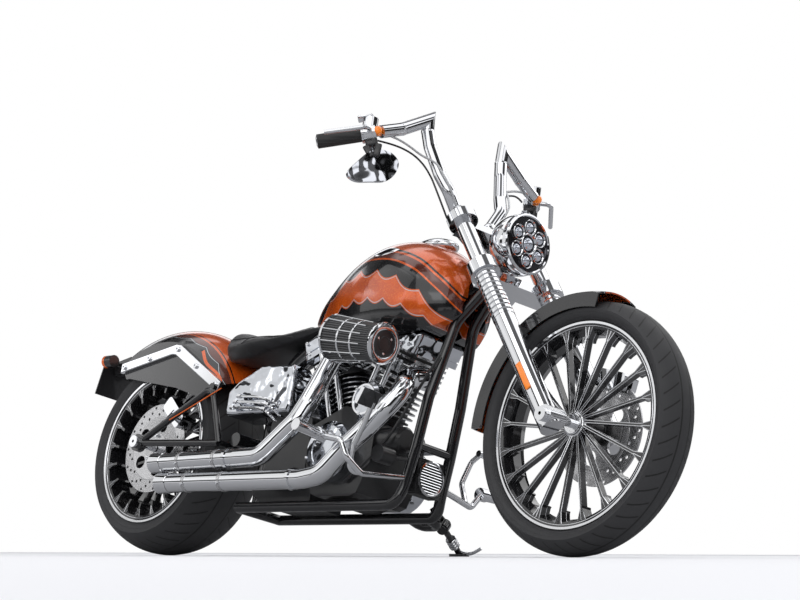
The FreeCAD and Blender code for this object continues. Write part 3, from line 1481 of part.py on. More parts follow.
CASE_SHARES = [(1.0, 0.38), (1.0, -0.04), (0.72, -0.38), (0.22, -0.48)]


def make_crankcase():
    """The case between the cylinders' decks and a narrower floor between the rails."""
    deck = V.deck_height
    wide = V.deck_half_length
    corner = Vector(deck * math.sin(VEE) + wide * math.cos(VEE), 0,
                    deck * math.cos(VEE) - wide * math.sin(VEE))
    front = [Vector(a * V.case_half_length, 0, h * V.crank_height) for a, h in CASE_SHARES]
    right_half = [Vector(0, 0, deck / math.cos(VEE)), corner] + front
    outline = right_half + [Vector(-p.x, 0, p.z) for p in reversed(right_half[1:])]
    wire = Part.makePolygon([CRANK + p for p in outline + outline[:1]])
    solid = Part.Face(wire).extrude(LEFT * 2 * V.case_half_width)
    solid.translate(-LEFT * V.case_half_width)
    depth = V.case_half_width - V.case_floor_half_width
    rear = V.crank_ahead - V.case_half_length
    for start in (-V.case_half_width, V.case_floor_half_width):
        solid = solid.cut(Part.makeBox(2 * V.case_half_length, depth, V.case_floor_height,
                                       Vector(rear, start, 0)))
    return keep("frame", shaped("crankcase", solid))


def make_barrels():
    barrels = []
    for end, axis in CYLINDER_AXES.items():
        count = int(V.fin_count)
        pitch = (V.barrel_height - V.fin_thickness) / (count - 1)
        base = V.deck_height + V.seat_gap
        outline = [(0.0, 0.0)]
        core = V.barrel_core_radius
        for i in range(count):
            low = i * pitch
            reach = min(V.fin_radius, (base + low) * math.tan(VEE) - V.fin_meeting_gap)
            outline += [(low, core), (low, reach), (low + V.fin_thickness, reach),
                        (low + V.fin_thickness, core)]
        outline += [(V.barrel_height, 0.0)]
        outline = [p for i, p in enumerate(outline) if i == 0 or p != outline[i - 1]]
        wire = Part.makePolygon([Vector(a, 0, r) for a, r in outline + outline[:1]])
        solid = Part.Face(wire).revolve(Vector(), AHEAD, 360)
        barrel = shaped(f"barrel_{end}", solid)
        barrel.Placement = along(CRANK + axis * base, axis)
        barrels.append(barrel)
    return keep("frame", grouped("cylinders", barrels))


def vee_slab(axis, low, height, half_length, half_width):
    """A block square to a cylinder's axis, from one height along it to another."""
    slab = Part.makeBox(2 * half_length, 2 * half_width, height, Vector(-half_length, -half_width, 0))
    turn = FreeCAD.Rotation(Vector(axis.z, 0, -axis.x), LEFT, axis, "ZXY")
    slab.Placement = FreeCAD.Placement(CRANK + axis * low, turn)
    return slab


def upright_edges(slab, axis):
    return [e for e in slab.Edges
            if abs((e.Vertexes[1].Point - e.Vertexes[0].Point).normalize().dot(axis)) > 0.99]


def make_heads():
    """A finned block on each barrel, its side faces flat where a port meets it."""
    base = V.deck_height + V.barrel_height + 2 * V.seat_gap
    count = int(V.head_fin_count)
    pitch = (V.head_height - V.head_fin_thickness) / (count - 1)
    heads = []
    for end, axis in CYLINDER_AXES.items():
        inner_length = V.head_half_length - V.head_fin_depth
        inner_width = V.head_half_width - V.head_fin_depth
        core = vee_slab(axis, base, V.head_height, inner_length, inner_width)
        fins = []
        for i in range(count):
            fin = vee_slab(axis, base + i * pitch, V.head_fin_thickness, V.head_half_length,
                           V.head_half_width)
            fins.append(fin.makeFillet(V.head_corner, upright_edges(fin, axis)))
        turn = 1 if end == "front" else -1
        middle = V.intake_along
        side_way = Vector(axis.z, 0, -axis.x)
        ports = [Part.makeCylinder(V.intake_stub_radius + V.fin_thickness, V.head_half_length,
                                   CRANK + axis * middle - LEFT * V.intake_inner, -side_way * turn)]
        if end == "front":
            ports.append(Part.makeCylinder(V.exhaust_radius + V.fin_thickness, V.head_half_length,
                                           CRANK + axis * V.exhaust_port_along
                                           - LEFT * V.exhaust_front_port_side, side_way))
        else:
            ports.append(Part.makeCylinder(V.rear_port_radius + V.fin_thickness / 2, V.head_half_width,
                                           CRANK + axis * (V.rear_port_along + V.fin_thickness)
                                           + side_way * V.rear_port_ahead, -LEFT))
        whole = vee_slab(axis, base, V.head_height, V.head_half_length, V.head_half_width)
        heads.append(shaped(f"head_{end}", core.fuse(fins + ports).common(whole)))
    return keep("frame", grouped("cylinder_heads", heads))


def make_rockers():
    """Covers in three layers: a flange, a waist and a cap with rounded edges."""
    base = V.deck_height + V.barrel_height + V.head_height + 3 * V.seat_gap
    covers = []
    for end, axis in CYLINDER_AXES.items():
        flange = vee_slab(axis, base, V.rocker_base, V.rocker_half_length, V.rocker_half_width)
        flange = flange.makeFillet(V.rocker_corner, upright_edges(flange, axis))
        waist = vee_slab(axis, base, V.rocker_height / 2, V.rocker_half_length - V.rocker_inset,
                         V.rocker_half_width - V.rocker_inset)
        waist = waist.makeFillet(V.rocker_corner - V.rocker_inset, upright_edges(waist, axis))
        cap = vee_slab(axis, base + V.rocker_base + V.rocker_inset,
                       V.rocker_height - V.rocker_base - V.rocker_inset, V.rocker_half_length,
                       V.rocker_half_width)
        top = CRANK.dot(axis) + base + V.rocker_height
        high = [e for e in cap.Edges if e.CenterOfMass.dot(axis) > top - V.seat_gap]
        cap = cap.makeFillet(V.rocker_corner, upright_edges(cap, axis) + high)
        covers.append(shaped(f"rocker_{end}", flange.fuse([waist, cap])))
    return keep("frame", grouped("rocker_covers", covers))


def make_pushrods():
    tubes = []
    for end, axis in CYLINDER_AXES.items():
        side_way = Vector(axis.z, 0, -axis.x)
        for end_side in (-1, 1):
            start = (CRANK + axis * (V.deck_height + V.seat_gap)
                     + side_way * end_side * V.pushrod_half_gap - LEFT * V.pushrod_offset)
            tubes.append(cylinder(f"pushrod_{end}_{end_side + 1}", "pushrod_radius",
                                  "barrel_height + head_height + seat_gap", start, axis))
    return keep("frame", grouped("pushrod_tubes", tubes))


def make_cam_cover():
    cover = turned_part("cam_cover", [
        ("0", 0), ("0", "cam_cover_radius"), ("cam_cover_depth * 0.7", "cam_cover_radius"),
        ("cam_cover_depth", "cam_cover_radius - cam_cover_edge"), ("cam_cover_depth", 0)])
    cover.Placement = along(Vector(V.crank_ahead - V.cam_cover_back, -V.case_half_width - V.seat_gap,
                                   V.crank_height + V.cam_cover_rise), -LEFT)
    return keep("frame", cover)


SIDE_COVER_SHARES = (1.1193, 0.0, 0.4531)
SIDE_COVER_FOOT_SHARES = (1.0932, 0.0, 0.3987)


def make_side_cover():
    """The round cover ahead of the pushrods, on a short post from the crankcase."""
    face = -(V.case_half_width + V.seat_gap)
    disc = turned_part("side_cover_disc", [
        ("0", 0), ("0", "side_cover_radius"), ("side_cover_depth - side_cover_edge", "side_cover_radius"),
        ("side_cover_depth", "side_cover_radius - side_cover_edge"), ("side_cover_depth", 0)])
    disc.Placement = along(place(*SIDE_COVER_SHARES) + LEFT * face, -LEFT)
    start = -V.case_half_width - V.seat_gap
    post = cylinder("side_cover_post", "side_cover_foot_radius", "side_cover_depth / 2",
                    place(*SIDE_COVER_FOOT_SHARES) + LEFT * start, -LEFT)
    return keep("frame", fused("side_cover", [disc, post]))


SUMP_SHARES = [(0.8432, 0.1407), (0.8432, 0.2132), (0.5455, 0.2132), (0.5455, 0.1834), (0.6182, 0.1407)]


def make_gearbox():
    top = OIL_TANK_LOW - V.seat_gap
    length = V.gearbox_front - V.gearbox_rear
    block = Part.makeBox(length, V.case_half_width * 2, top - V.gearbox_low,
                         Vector(V.gearbox_rear, -V.case_half_width, V.gearbox_low))
    block = block.makeFillet(V.gearbox_corner, [e for e in block.Edges
                                                if abs(e.tangentAt(e.FirstParameter).y) > 0.99])
    shaft = Part.makeCylinder(V.drive_pulley_radius, V.pulley_offset + V.belt_width / 2,
                              Vector(V.drive_pulley_ahead, 0, V.drive_pulley_height), LEFT)
    sump = side_face(SUMP_SHARES, V.case_floor_half_width)
    return keep("frame", shaped("gearbox", block.fuse([shaft, sump])))


PRIMARY_POCKET_SHARES = [(0.4886, 0.1279), (0.8295, 0.1279), (0.8295, 0.4478), (0.4886, 0.4478)]


def make_primary():
    """The long cover over the primary drive, open at the rear for the belt."""
    inner = V.case_half_width + V.seat_gap
    radius = V.primary_radius
    tail_radius = V.primary_tail_radius
    rear = Vector(V.primary_tail_ahead, 0, V.crank_height + V.primary_tail_rise)
    gap = rear - CRANK
    tilt = math.atan2(gap.z, gap.x)
    spread = math.acos((radius - tail_radius) / gap.Length)

    def spot(centre, size, angle):
        return centre + Vector(math.cos(angle), 0, math.sin(angle)) * size + LEFT * inner

    a, b = tilt - spread, tilt + spread
    outline = Part.Wire([
        Part.Arc(spot(CRANK, radius, a), spot(CRANK, radius, tilt + math.pi),
                 spot(CRANK, radius, b)).toShape(),
        Part.LineSegment(spot(CRANK, radius, b), spot(rear, tail_radius, b)).toShape(),
        Part.Arc(spot(rear, tail_radius, b), spot(rear, tail_radius, tilt),
                 spot(rear, tail_radius, a)).toShape(),
        Part.LineSegment(spot(rear, tail_radius, a), spot(CRANK, radius, a)).toShape()])
    cover = Part.Face(outline).extrude(LEFT * (V.primary_outer - inner))
    rim = [e for e in cover.Edges if e.CenterOfMass.y > V.primary_outer - V.seat_gap]
    cover = cover.makeFillet(V.primary_edge, rim)
    depth = V.pulley_offset + V.belt_width / 2 + V.pulley_flange
    return keep("frame", shaped("primary_cover", cover.cut(side_face(PRIMARY_POCKET_SHARES, depth / 2,
                                                                     depth / 2))))


OIL_TANK_SHARES = [(0.4443, 0.5053), (0.4443, 0.4392), (0.4545, 0.4264), (0.7682, 0.4264), (0.7784, 0.4478), (0.7784, 0.565), (0.7636, 0.5821),
                   (0.6023, 0.5864), (0.4886, 0.5394)]
OIL_TANK_LOW = OIL_TANK_SHARES[2][1] * V.tank_top

make_crankcase()
make_barrels()
make_heads()
make_rockers()
make_pushrods()
make_cam_cover()
make_side_cover()
make_gearbox()
make_primary()


# Drive belt

def make_belt():
    near = V.pulley_offset - V.belt_width / 2
    front = Vector(V.drive_pulley_ahead, 0, V.drive_pulley_height)
    small = V.drive_pulley_radius
    large = V.pulley_radius
    gap = front - REAR_AXLE
    span = gap.Length
    tilt = math.atan2(gap.z, gap.x)
    lean = math.acos((large - small) / span)

    def ring(extra):
        def spot(centre, radius, angle):
            return centre + Vector(math.cos(angle), 0, math.sin(angle)) * (radius + extra)
        a, b = tilt + lean, tilt - lean
        arcs = [Part.Arc(spot(REAR_AXLE, large, a), spot(REAR_AXLE, large, tilt + math.pi),
                         spot(REAR_AXLE, large, b)).toShape(),
                Part.LineSegment(spot(REAR_AXLE, large, b), spot(front, small, b)).toShape(),
                Part.Arc(spot(front, small, b), spot(front, small, tilt), spot(front, small, a)).toShape(),
                Part.LineSegment(spot(front, small, a), spot(REAR_AXLE, large, a)).toShape()]
        return Part.Face(Part.Wire(arcs)).extrude(LEFT * V.belt_width)
    belt = ring(V.belt_thickness).cut(ring(V.seat_gap))
    belt.translate(LEFT * near)
    return keep("frame", shaped("drive_belt", belt))


make_belt()


# Air cleaner

FILTER_TILT = math.radians(V.filter_tilt_angle)
FILTER_WAY = Vector(math.cos(FILTER_TILT), 0, -math.sin(FILTER_TILT))
FILTER_BACK = Vector(V.filter_back, -V.filter_side, V.filter_height)
FILTER_SEAT = V.filter_ring_width * 0.75


def make_air_cleaner():
    """A duct from both intake ports, out between the cylinders and forward to the filter's ring."""
    elbow = FILTER_BACK - FILTER_WAY * ((V.filter_back - V.crank_ahead) / FILTER_WAY.x)
    stubs = []
    for end, axis in CYLINDER_AXES.items():
        outward = Vector(-axis.z, 0, axis.x) * (1 if end == "front" else -1)
        face = (CRANK + axis * V.intake_along + outward * (V.head_half_length + V.seat_gap)
                - LEFT * V.intake_inner)
        reach = (V.crank_ahead - face.x) / outward.x
        stubs.append(cylinder(f"intake_{end}", "intake_stub_radius", reach, face, outward))
        middle = face + outward * reach
    duct = pipe("intake_duct", [middle + LEFT * V.intake_inner, elbow, FILTER_BACK], "intake_radius",
                bend=V.intake_bend)
    ring = turned_part("filter_ring", [
        ("0", 0), ("0", "filter_ring_radius - filter_ring_edge"),
        ("filter_ring_width * 0.5", "filter_ring_radius"),
        ("filter_ring_width", "filter_ring_radius"), ("filter_ring_width", 0)])
    ring.Placement = along(FILTER_BACK + FILTER_WAY * (FILTER_SEAT - V.filter_ring_width), FILTER_WAY)
    return keep("frame", fused("air_cleaner", [duct, ring] + stubs))


def make_air_filter():
    cap = "(filter_length - filter_cap_width)"
    cone = turned_part("air_filter", [
        ("0", 0), ("0", "filter_back_radius"), (cap, "filter_front_radius"),
        (cap, "filter_front_radius + filter_cap_rise"),
        ("filter_length - filter_cap_edge", "filter_front_radius + filter_cap_rise"),
        ("filter_length", "filter_front_radius - filter_cap_edge"), ("filter_length", 0)])
    cone.Placement = along(FILTER_BACK + FILTER_WAY * (FILTER_SEAT + V.seat_gap), FILTER_WAY)
    return keep("frame", cone)


make_air_cleaner()
make_air_filter()


# Exhaust

FRONT_EXHAUST_SHARES = [(1.2705, -0.6914, 0.5245), (1.3273, -1.0185, 0.467), (1.2955, -1.2099, 0.3966), (1.2409, -1.3086, 0.3358),
                        (1.1784, -1.3951, 0.2761), (1.1, -1.4877, 0.1898), (1.0227, -1.5247, 0.177), (0.2977, -1.5432, 0.177)]
REAR_EXHAUST_SHARES = [(0.9273, -1.0617, 0.4968), (0.9227, -1.2099, 0.4318), (0.9057, -1.3148, 0.3731), (0.8375, -1.4012, 0.307), (0.7864, -1.4753, 0.2559),
                       (0.6818, -1.5185, 0.2516), (0.2432, -1.5432, 0.2452)]


def exhaust(name, port, port_way, port_radius, reach, shares, bend):
    """A pipe whose flanged stub meets its head squarely and turns into the long run."""
    corner = port + port_way * reach
    stub = cylinder(name + "_stub", port_radius, reach, port, port_way)
    knee = doc.addObject("Part::Sphere", name + "_knee")
    bind(knee, "Radius", "exhaust_radius")
    knee.Placement.Base = corner
    run = [corner] + route(shares)
    tip, before = run[-1], run[-2]
    way = (tip - before).normalize()
    collar = cylinder(name + "_collar", "exhaust_collar_radius", "exhaust_collar_width",
                      before + way * V.exhaust_collar_run, way)
    outer = fused(name + "_outer", [pipe(name + "_run", run, "exhaust_radius", bend), stub, knee, collar])
    bore = cylinder(name + "_bore", "exhaust_radius - exhaust_wall", "exhaust_bore_depth + cut_over",
                    tip - way * V.exhaust_bore_depth, way)
    return keep("frame", cut(name, outer, bore))


front_side = Vector(math.cos(VEE), 0, -math.sin(VEE))
rear_side = Vector(math.cos(VEE), 0, math.sin(VEE))
front_port = (CRANK + CYLINDER_AXES["front"] * V.exhaust_port_along
              + front_side * (V.head_half_length + V.seat_gap) - LEFT * V.exhaust_front_port_side)
exhaust("exhaust_front_pipe", front_port, front_side, "exhaust_radius", V.front_port_reach,
        FRONT_EXHAUST_SHARES, V.exhaust_front_bend)
rear_port = (CRANK + CYLINDER_AXES["rear"] * V.rear_port_along + rear_side * V.rear_port_ahead
             - LEFT * (V.head_half_width + V.seat_gap))
exhaust("exhaust_rear_pipe", rear_port, -LEFT, "rear_port_radius", V.rear_port_reach,
        REAR_EXHAUST_SHARES, V.exhaust_rear_bend)


# Oil tank, cooler and filter

def make_oil_tank():
    """A horseshoe round the frame's rear post, open in front for the rear cylinder."""
    half = V.oil_tank_half_width
    block = side_face(OIL_TANK_SHARES, half)
    rim = [e for e in block.Edges if abs(abs(e.CenterOfMass.y) - half) < V.seat_gap]
    block = block.makeFillet(V.oil_tank_corner * 0.4, rim)
    front = OIL_TANK_SHARES[4][0] * V.crank_ahead
    high = V.tank_top
    mouth = Part.makeBox(V.oil_tank_mouth_depth + V.cut_over, V.oil_tank_mouth * 2, high,
                         Vector(front - V.oil_tank_mouth_depth, -V.oil_tank_mouth, 0))
    slot_half = V.backbone_radius + V.moving_gap
    slot = Part.makeBox(V.oil_tank_slot, slot_half * 2, high, Vector(0, -slot_half, 0))
    block = block.cut(mouth).cut(slot)
    return keep("frame", shaped("oil_tank", max(block.Solids, key=lambda s: s.Volume)))


def make_cooler():
    """A box of fins between the downtubes, on a pin into each of them."""
    centre = Vector(V.cooler_ahead, 0, V.cooler_height)
    corner = Vector(V.cooler_depth / 2, V.cooler_half_width, V.cooler_half_height)
    block = Part.makeBox(*(corner * 2), centre - corner)
    block = block.makeFillet(V.cooler_corner, upright_edges(block, AHEAD))
    reach = cradle_route(1)[3].y
    pins = Part.makeCylinder(V.cooler_pin_radius, 2 * reach, centre - LEFT * reach, LEFT)
    whole = block.fuse(pins).cut([cradle_room(side, V.seat_gap) for side in (-1, 1)])
    return keep("frame", shaped("oil_cooler", max(whole.Solids, key=lambda s: s.Volume)))


def make_oil_filter():
    can = turned_part("oil_filter", [
        ("0", 0), ("0", "oil_filter_radius"), ("oil_filter_length - oil_filter_edge", "oil_filter_radius"),
        ("oil_filter_length", "oil_filter_radius - oil_filter_edge"), ("oil_filter_length", 0)])
    can.Placement = along(Vector(V.crank_ahead + V.case_half_length + V.seat_gap, -V.oil_filter_side,
                                 V.oil_filter_height), AHEAD)
    return keep("frame", can)


make_oil_tank()
make_cooler()
make_oil_filter()


# Foot controls

RIGHT_CARRIER_SHARES = [(1.2989, 0.4568, 0.2186), (1.2682, 1.3889, 0.194), (1.2557, 1.7284, 0.2292), (1.233, 1.8025, 0.2793), (1.1364, 1.8025, 0.2964)]
RIGHT_PEDAL_SHARES = [(1.283, 0.9259, 0.2058), (1.2409, 1.5556, 0.194), (1.2568, 1.6173, 0.2719), (1.2909, 1.6173, 0.3358), (1.3227, 1.6543, 0.3966)]
RIGHT_PAD_SHARES = (1.3261, 1.8025, 0.403)
LEFT_CARRIER_SHARES = [(1.2989, 0.4568, 0.2186), (1.2659, 1.4198, 0.2026), (1.2636, 1.6543, 0.2537)]
LEFT_PEDAL_SHARES = [(1.2716, 1.2346, 0.2058), (1.2114, 1.3951, 0.2793), (1.225, 1.4938, 0.3518), (1.2545, 1.5432, 0.3795)]


def peg_way(side):
    """The way a peg points: outward and a little up."""
    rise = math.radians(V.peg_rise_angle)
    return LEFT * (side * math.cos(rise)) + UP * math.sin(rise)


def peg_root(side):
    """Where a peg's collar starts, at the end of its carrier."""
    shares = RIGHT_CARRIER_SHARES if side < 0 else LEFT_CARRIER_SHARES
    return route(shares, side)[-1]


def foot_control(name, side, carrier_shares, pedal_shares):
    """A carrier from the downtube's foot, a peg, and the pedal's rod."""
    carrier = route(carrier_shares, side)
    root = peg_root(side)
    way = peg_way(side)
    return [pipe(name + "_carrier", carrier, "control_rod_radius", bend=V.control_bend),
            cylinder(name + "_collar", "peg_root_radius", "peg_root_length", root - way * V.control_rod_radius,
                     way),
            cylinder(name + "_peg", "peg_radius", "peg_length",
                     root + way * (V.peg_root_length - V.control_rod_radius), way),
            pipe(name + "_pedal", route(pedal_shares, side), "pedal_rod_radius", bend=V.control_bend)]


def make_right_control():
    parts = foot_control("right_control", -1, RIGHT_CARRIER_SHARES, RIGHT_PEDAL_SHARES)
    pad_turn = FreeCAD.Rotation(LEFT, -64)
    pad = box("right_control_pad", "pad_half_height * 2", "pad_half_length * 2", "pad_thickness",
              route([RIGHT_PAD_SHARES], -1)[0], pad_turn)
    blank = joined("right_control_blank", parts + [pad])
    tool = shaped("right_control_tool", cradle_room(-1, V.seat_gap))
    return keep("frame", cut("right_foot_control", blank, tool))


def make_left_control():
    parts = foot_control("left_control", 1, LEFT_CARRIER_SHARES, LEFT_PEDAL_SHARES)
    toe = route(LEFT_PEDAL_SHARES, 1)[-1]
    parts.append(cylinder("left_control_toe", "toe_rod_radius", "toe_rod_length",
                          toe - LEFT * V.toe_rod_radius, LEFT))
    blank = joined("left_control_blank", parts)
    tool = shaped("left_control_tool", cradle_room(1, V.seat_gap))
    return keep("frame", cut("left_foot_control", blank, tool))


def make_reservoir():
    """The brake's master cylinder on a bracket from the right downtube."""
    at = Vector(V.reservoir_ahead, -V.reservoir_side, V.reservoir_height)
    can = cylinder("reservoir_can", "reservoir_radius", "reservoir_length", at, -LEFT)
    tube = route(DOWNTUBE_SHARES, -1)
    knee = at - LEFT * V.reservoir_bracket
    spot = Vector(tube[2].x, tube[2].y, at.z)
    arm = cylinder("reservoir_arm", "reservoir_bracket / 2", (spot - knee).Length, knee, spot - knee)
    blank = fused("reservoir_blank", [can, arm])
    tool = shaped("reservoir_tool", cradle_room(-1, V.seat_gap))
    return keep("frame", cut("brake_master_cylinder", blank, tool))


make_right_control()
make_left_control()
make_reservoir()


# Stance: the lean onto the stand, and the ground under both tyres

def crown_radius(half, rise):
    return (half ** 2 + rise ** 2) / (2 * rise)


REAR_CROWN = crown_radius(V.rear_tyre_half_width, V.rear_shoulder_drop)
FRONT_CROWN = crown_radius(V.front_tyre_half_width, V.front_shoulder_drop)
LEAN = FreeCAD.Rotation(AHEAD, -V.lean_angle)
STEER = FreeCAD.Placement(Vector(), FreeCAD.Rotation(STEER_UP, V.steer_angle), STEER_POINT)


def lowest(centre, spin, radius, crown):
    """The lowest height of a round tyre from its centre, its axle's way and its crown."""
    return centre.z - (radius - crown) * math.sqrt(1 - spin.z ** 2) - crown


def stance(pitch):
    turn = FreeCAD.Rotation(LEFT, pitch).multiply(LEAN)
    rear = lowest(turn.multVec(REAR_AXLE), turn.multVec(LEFT), V.rear_tyre_radius, REAR_CROWN)
    front_turn = turn.multiply(STEER.Rotation)
    front = lowest(turn.multVec(STEER.multVec(FRONT_AXLE)), front_turn.multVec(LEFT),
                   V.front_tyre_radius, FRONT_CROWN)
    return turn, rear, front


pitch = 0.0
for _ in range(3):
    turn, rear_low, front_low = stance(pitch)
    pitch += math.degrees(math.atan2(front_low - rear_low, V.wheelbase))
turn, rear_low, front_low = stance(pitch)
STAND = FreeCAD.Placement(Vector(0, 0, -rear_low), turn)


# Side stand

def make_side_stand():
    high = STAND.multVec(STAND_FOOT)
    back = STAND.inverse()
    foot = back.multVec(Vector(high.x, high.y, V.stand_foot_thickness))
    down = back.Rotation.multVec(-UP)
    start = STAND_PIVOT - STAND_AXIS * V.stand_start
    leg = pipe("stand_leg", [start, foot - LEG_WAY * V.stand_foot_run, foot], "stand_radius",
               bend=V.stand_bend)
    pad = cylinder("stand_foot", "stand_foot_radius", "stand_foot_thickness", foot, down)
    knuckle = cylinder("stand_knuckle", "stand_pivot_radius", "stand_knuckle_half * 2",
                       STAND_PIVOT - STAND_AXIS * V.stand_knuckle_half, STAND_AXIS)
    bore = cylinder("stand_bore", "stand_pin_radius + bore_gap", "stand_knuckle_half * 4",
                    STAND_PIVOT - STAND_AXIS * V.stand_knuckle_half * 2, STAND_AXIS)
    return keep("side_stand", cut("side_stand", fused("stand_blank", [leg, pad, knuckle]), bore))


make_side_stand()
doc.recompute()


# Put every sub-part where it stands, and write it out

def fail_on_fault():
    for thing in doc.Objects:
        if any(word in thing.State for word in ("Invalid", "Error")):
            raise RuntimeError(f"{thing.Name} did not compute: {thing.State}")


fail_on_fault()
placed = []
for body, parts in nodes.items():
    for part in parts:
        shape = part.Shape
        if shape.isNull() or not shape.isValid():
            raise RuntimeError(f"{part.Label} has no valid shape")
        steer = STEER if body in ("fork", "front_wheel") else FreeCAD.Placement()
        part.Placement = STAND.multiply(steer).multiply(part.Placement)
        placed.append(part)
doc.recompute()
fail_on_fault()
whole = FreeCAD.BoundBox()
for part in placed:
    whole.add(part.Shape.optimalBoundingBox(True, False))
shift = FreeCAD.Placement(Vector(-whole.Center.x, -whole.Center.y, 0), FreeCAD.Rotation())
for part in placed:
    part.Placement = shift.multiply(part.Placement)
doc.recompute()
fail_on_fault()

os.makedirs("parts", exist_ok=True)
for part in placed:
    shape = part.Shape
    if shape.isNull() or not shape.isValid() or not shape.Solids:
        raise RuntimeError(f"{part.Label} has no valid solid")
    shape.exportStep(f"parts/{part.Label}.step")
print("size", [round(v, 1) for v in (whole.XLength, whole.YLength, whole.ZLength)], "low", round(whole.ZMin, 3))
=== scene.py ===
import json
import math
import bpy
from mathutils import Matrix, Vector


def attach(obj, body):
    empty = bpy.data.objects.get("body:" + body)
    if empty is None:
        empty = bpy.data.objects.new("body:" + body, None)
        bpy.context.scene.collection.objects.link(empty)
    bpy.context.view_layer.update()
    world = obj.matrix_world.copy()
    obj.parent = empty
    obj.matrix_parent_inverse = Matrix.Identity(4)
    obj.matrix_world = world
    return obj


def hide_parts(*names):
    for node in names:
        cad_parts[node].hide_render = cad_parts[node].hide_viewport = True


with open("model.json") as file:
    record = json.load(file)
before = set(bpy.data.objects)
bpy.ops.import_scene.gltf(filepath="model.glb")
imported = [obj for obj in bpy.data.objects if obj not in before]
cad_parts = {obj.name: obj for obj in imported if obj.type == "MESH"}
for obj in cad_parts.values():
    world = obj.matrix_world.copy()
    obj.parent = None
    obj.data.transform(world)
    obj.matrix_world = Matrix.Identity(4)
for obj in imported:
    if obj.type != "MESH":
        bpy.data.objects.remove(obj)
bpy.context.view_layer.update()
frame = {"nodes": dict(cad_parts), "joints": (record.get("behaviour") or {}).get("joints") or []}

# The machine leans on its side stand, and its fork is turned a little. BIKE carries a point of
# the upright machine, from the ground under its rear axle, to its place here, and FORK does the
# same for what the fork carries. bike(), on_fork() and stem() take millimetres.
MM = 0.001
REAR_WHEEL_RADIUS = 0.3245
RAKE = math.radians(35)
STEM_FOOT = 1855
joints = {joint["name"]: joint for joint in frame["joints"]}
rear_axle = Vector(joints["rear_wheel_spin"]["pos_m"])
left = Vector(joints["rear_wheel_spin"]["axis"]).normalized()
ahead = Vector((-left.z, 0, left.x)).normalized()
up = ahead.cross(left)
BIKE = (Matrix.Translation(rear_axle - up * REAR_WHEEL_RADIUS)
        @ Matrix((ahead, left, up)).transposed().to_4x4())
steering = joints["steering"]
straight = math.radians(sum(steering["range_deg"]) / 2)
hinge = Matrix.Translation(Vector(steering["pos_m"]))
FORK = hinge @ Matrix.Rotation(-straight, 4, Vector(steering["axis"])) @ hinge.inverted() @ BIKE
FORK_AXES = FORK.to_3x3().to_4x4()
REAR_WHEEL = BIKE @ Matrix.Translation((0, 0, REAR_WHEEL_RADIUS))
FRONT_WHEEL = Matrix.Translation(Vector(joints["front_wheel_spin"]["pos_m"])) @ FORK_AXES


def bike(x, y, z):
    return BIKE @ (Vector((x, y, z)) * MM)


def on_fork(x, y, z):
    return FORK @ (Vector((x, y, z)) * MM)


def stem(height, lead, side):
    """A point of the fork: height up the steering axis, lead ahead of it, side to the left."""
    return on_fork(STEM_FOOT - height * math.sin(RAKE) + lead * math.cos(RAKE), side,
                   height * math.cos(RAKE) + lead * math.sin(RAKE))


# Camera. It stands at floor level, ahead and to the machine's right, and looks a little up
# through a long lens.
CAMERA_FROM_REAR_AXLE = Vector((5.0663, -4.0522, -0.3118))
CAMERA_HEADING = math.radians(44.989)
CAMERA_PITCH = math.radians(7.293)
CAMERA_ROLL = math.radians(0.2)
CAMERA_LENS_MM = 88.98
camera = bpy.data.objects.new("camera", bpy.data.cameras.new("camera"))
bpy.context.collection.objects.link(camera)
camera.data.lens = CAMERA_LENS_MM
camera.data.sensor_width = 36
camera.data.clip_end = 200
camera.matrix_world = (Matrix.Translation(rear_axle + CAMERA_FROM_REAR_AXLE)
                       @ Matrix.Rotation(CAMERA_HEADING, 4, "Z")
                       @ Matrix.Rotation(math.pi / 2 + CAMERA_PITCH, 4, "X")
                       @ Matrix.Rotation(CAMERA_ROLL, 4, "Z"))
bpy.context.scene.camera = camera
bpy.context.scene.view_settings.view_transform = "Standard"


# Studio. A pale floor and a white surround lit by three soft lamps. Reflections see bands of
# light and dark with dark cards in them, and a darker floor, so that chrome has contrast.
def tree_node(tree, kind, settings=None, **inputs):
    """A shader node with its settings, and its inputs set to values or joined to outputs."""
    node = tree.nodes.new("ShaderNode" + kind)
    for name, value in (settings or {}).items():
        setattr(node, name, value)
    for name, value in inputs.items():
        socket = node.inputs[int(name[1:])] if name[0] == "_" else node.inputs[name.replace("_", " ")]
        if isinstance(value, bpy.types.NodeSocket):
            tree.links.new(value, socket)
        else:
            socket.default_value = value
    return node


def calc(tree, operation, *values):
    """One step of shader arithmetic."""
    return tree_node(tree, "Math", {"operation": operation},
                     **{f"_{i}": value for i, value in enumerate(values)}).outputs[0]


def blend(tree, share, first, second, kind="MIX"):
    """A colour between two, each a colour or an output."""
    return tree_node(tree, "Mix", {"data_type": "RGBA", "blend_type": kind},
                     _0=share, _6=first, _7=second).outputs[2]


FLOOR_SEEN = (0.8, 0.8, 0.82, 1)
FLOOR_MIRRORED = (0.3, 0.3, 0.31, 1)
bpy.ops.mesh.primitive_plane_add(size=60, location=(0, 0, 0))
floor = bpy.context.object
floor.name = "studio_floor"
pale = bpy.data.materials.new("studio_floor")
pale.use_nodes = True
tree = pale.node_tree
pale_shader = tree.nodes["Principled BSDF"]
pale_shader.inputs["Roughness"].default_value = 0.6
mirrored = tree_node(tree, "LightPath").outputs["Is Glossy Ray"]
tree.links.new(blend(tree, mirrored, FLOOR_SEEN, FLOOR_MIRRORED), pale_shader.inputs["Base Color"])
floor.data.materials.append(pale)

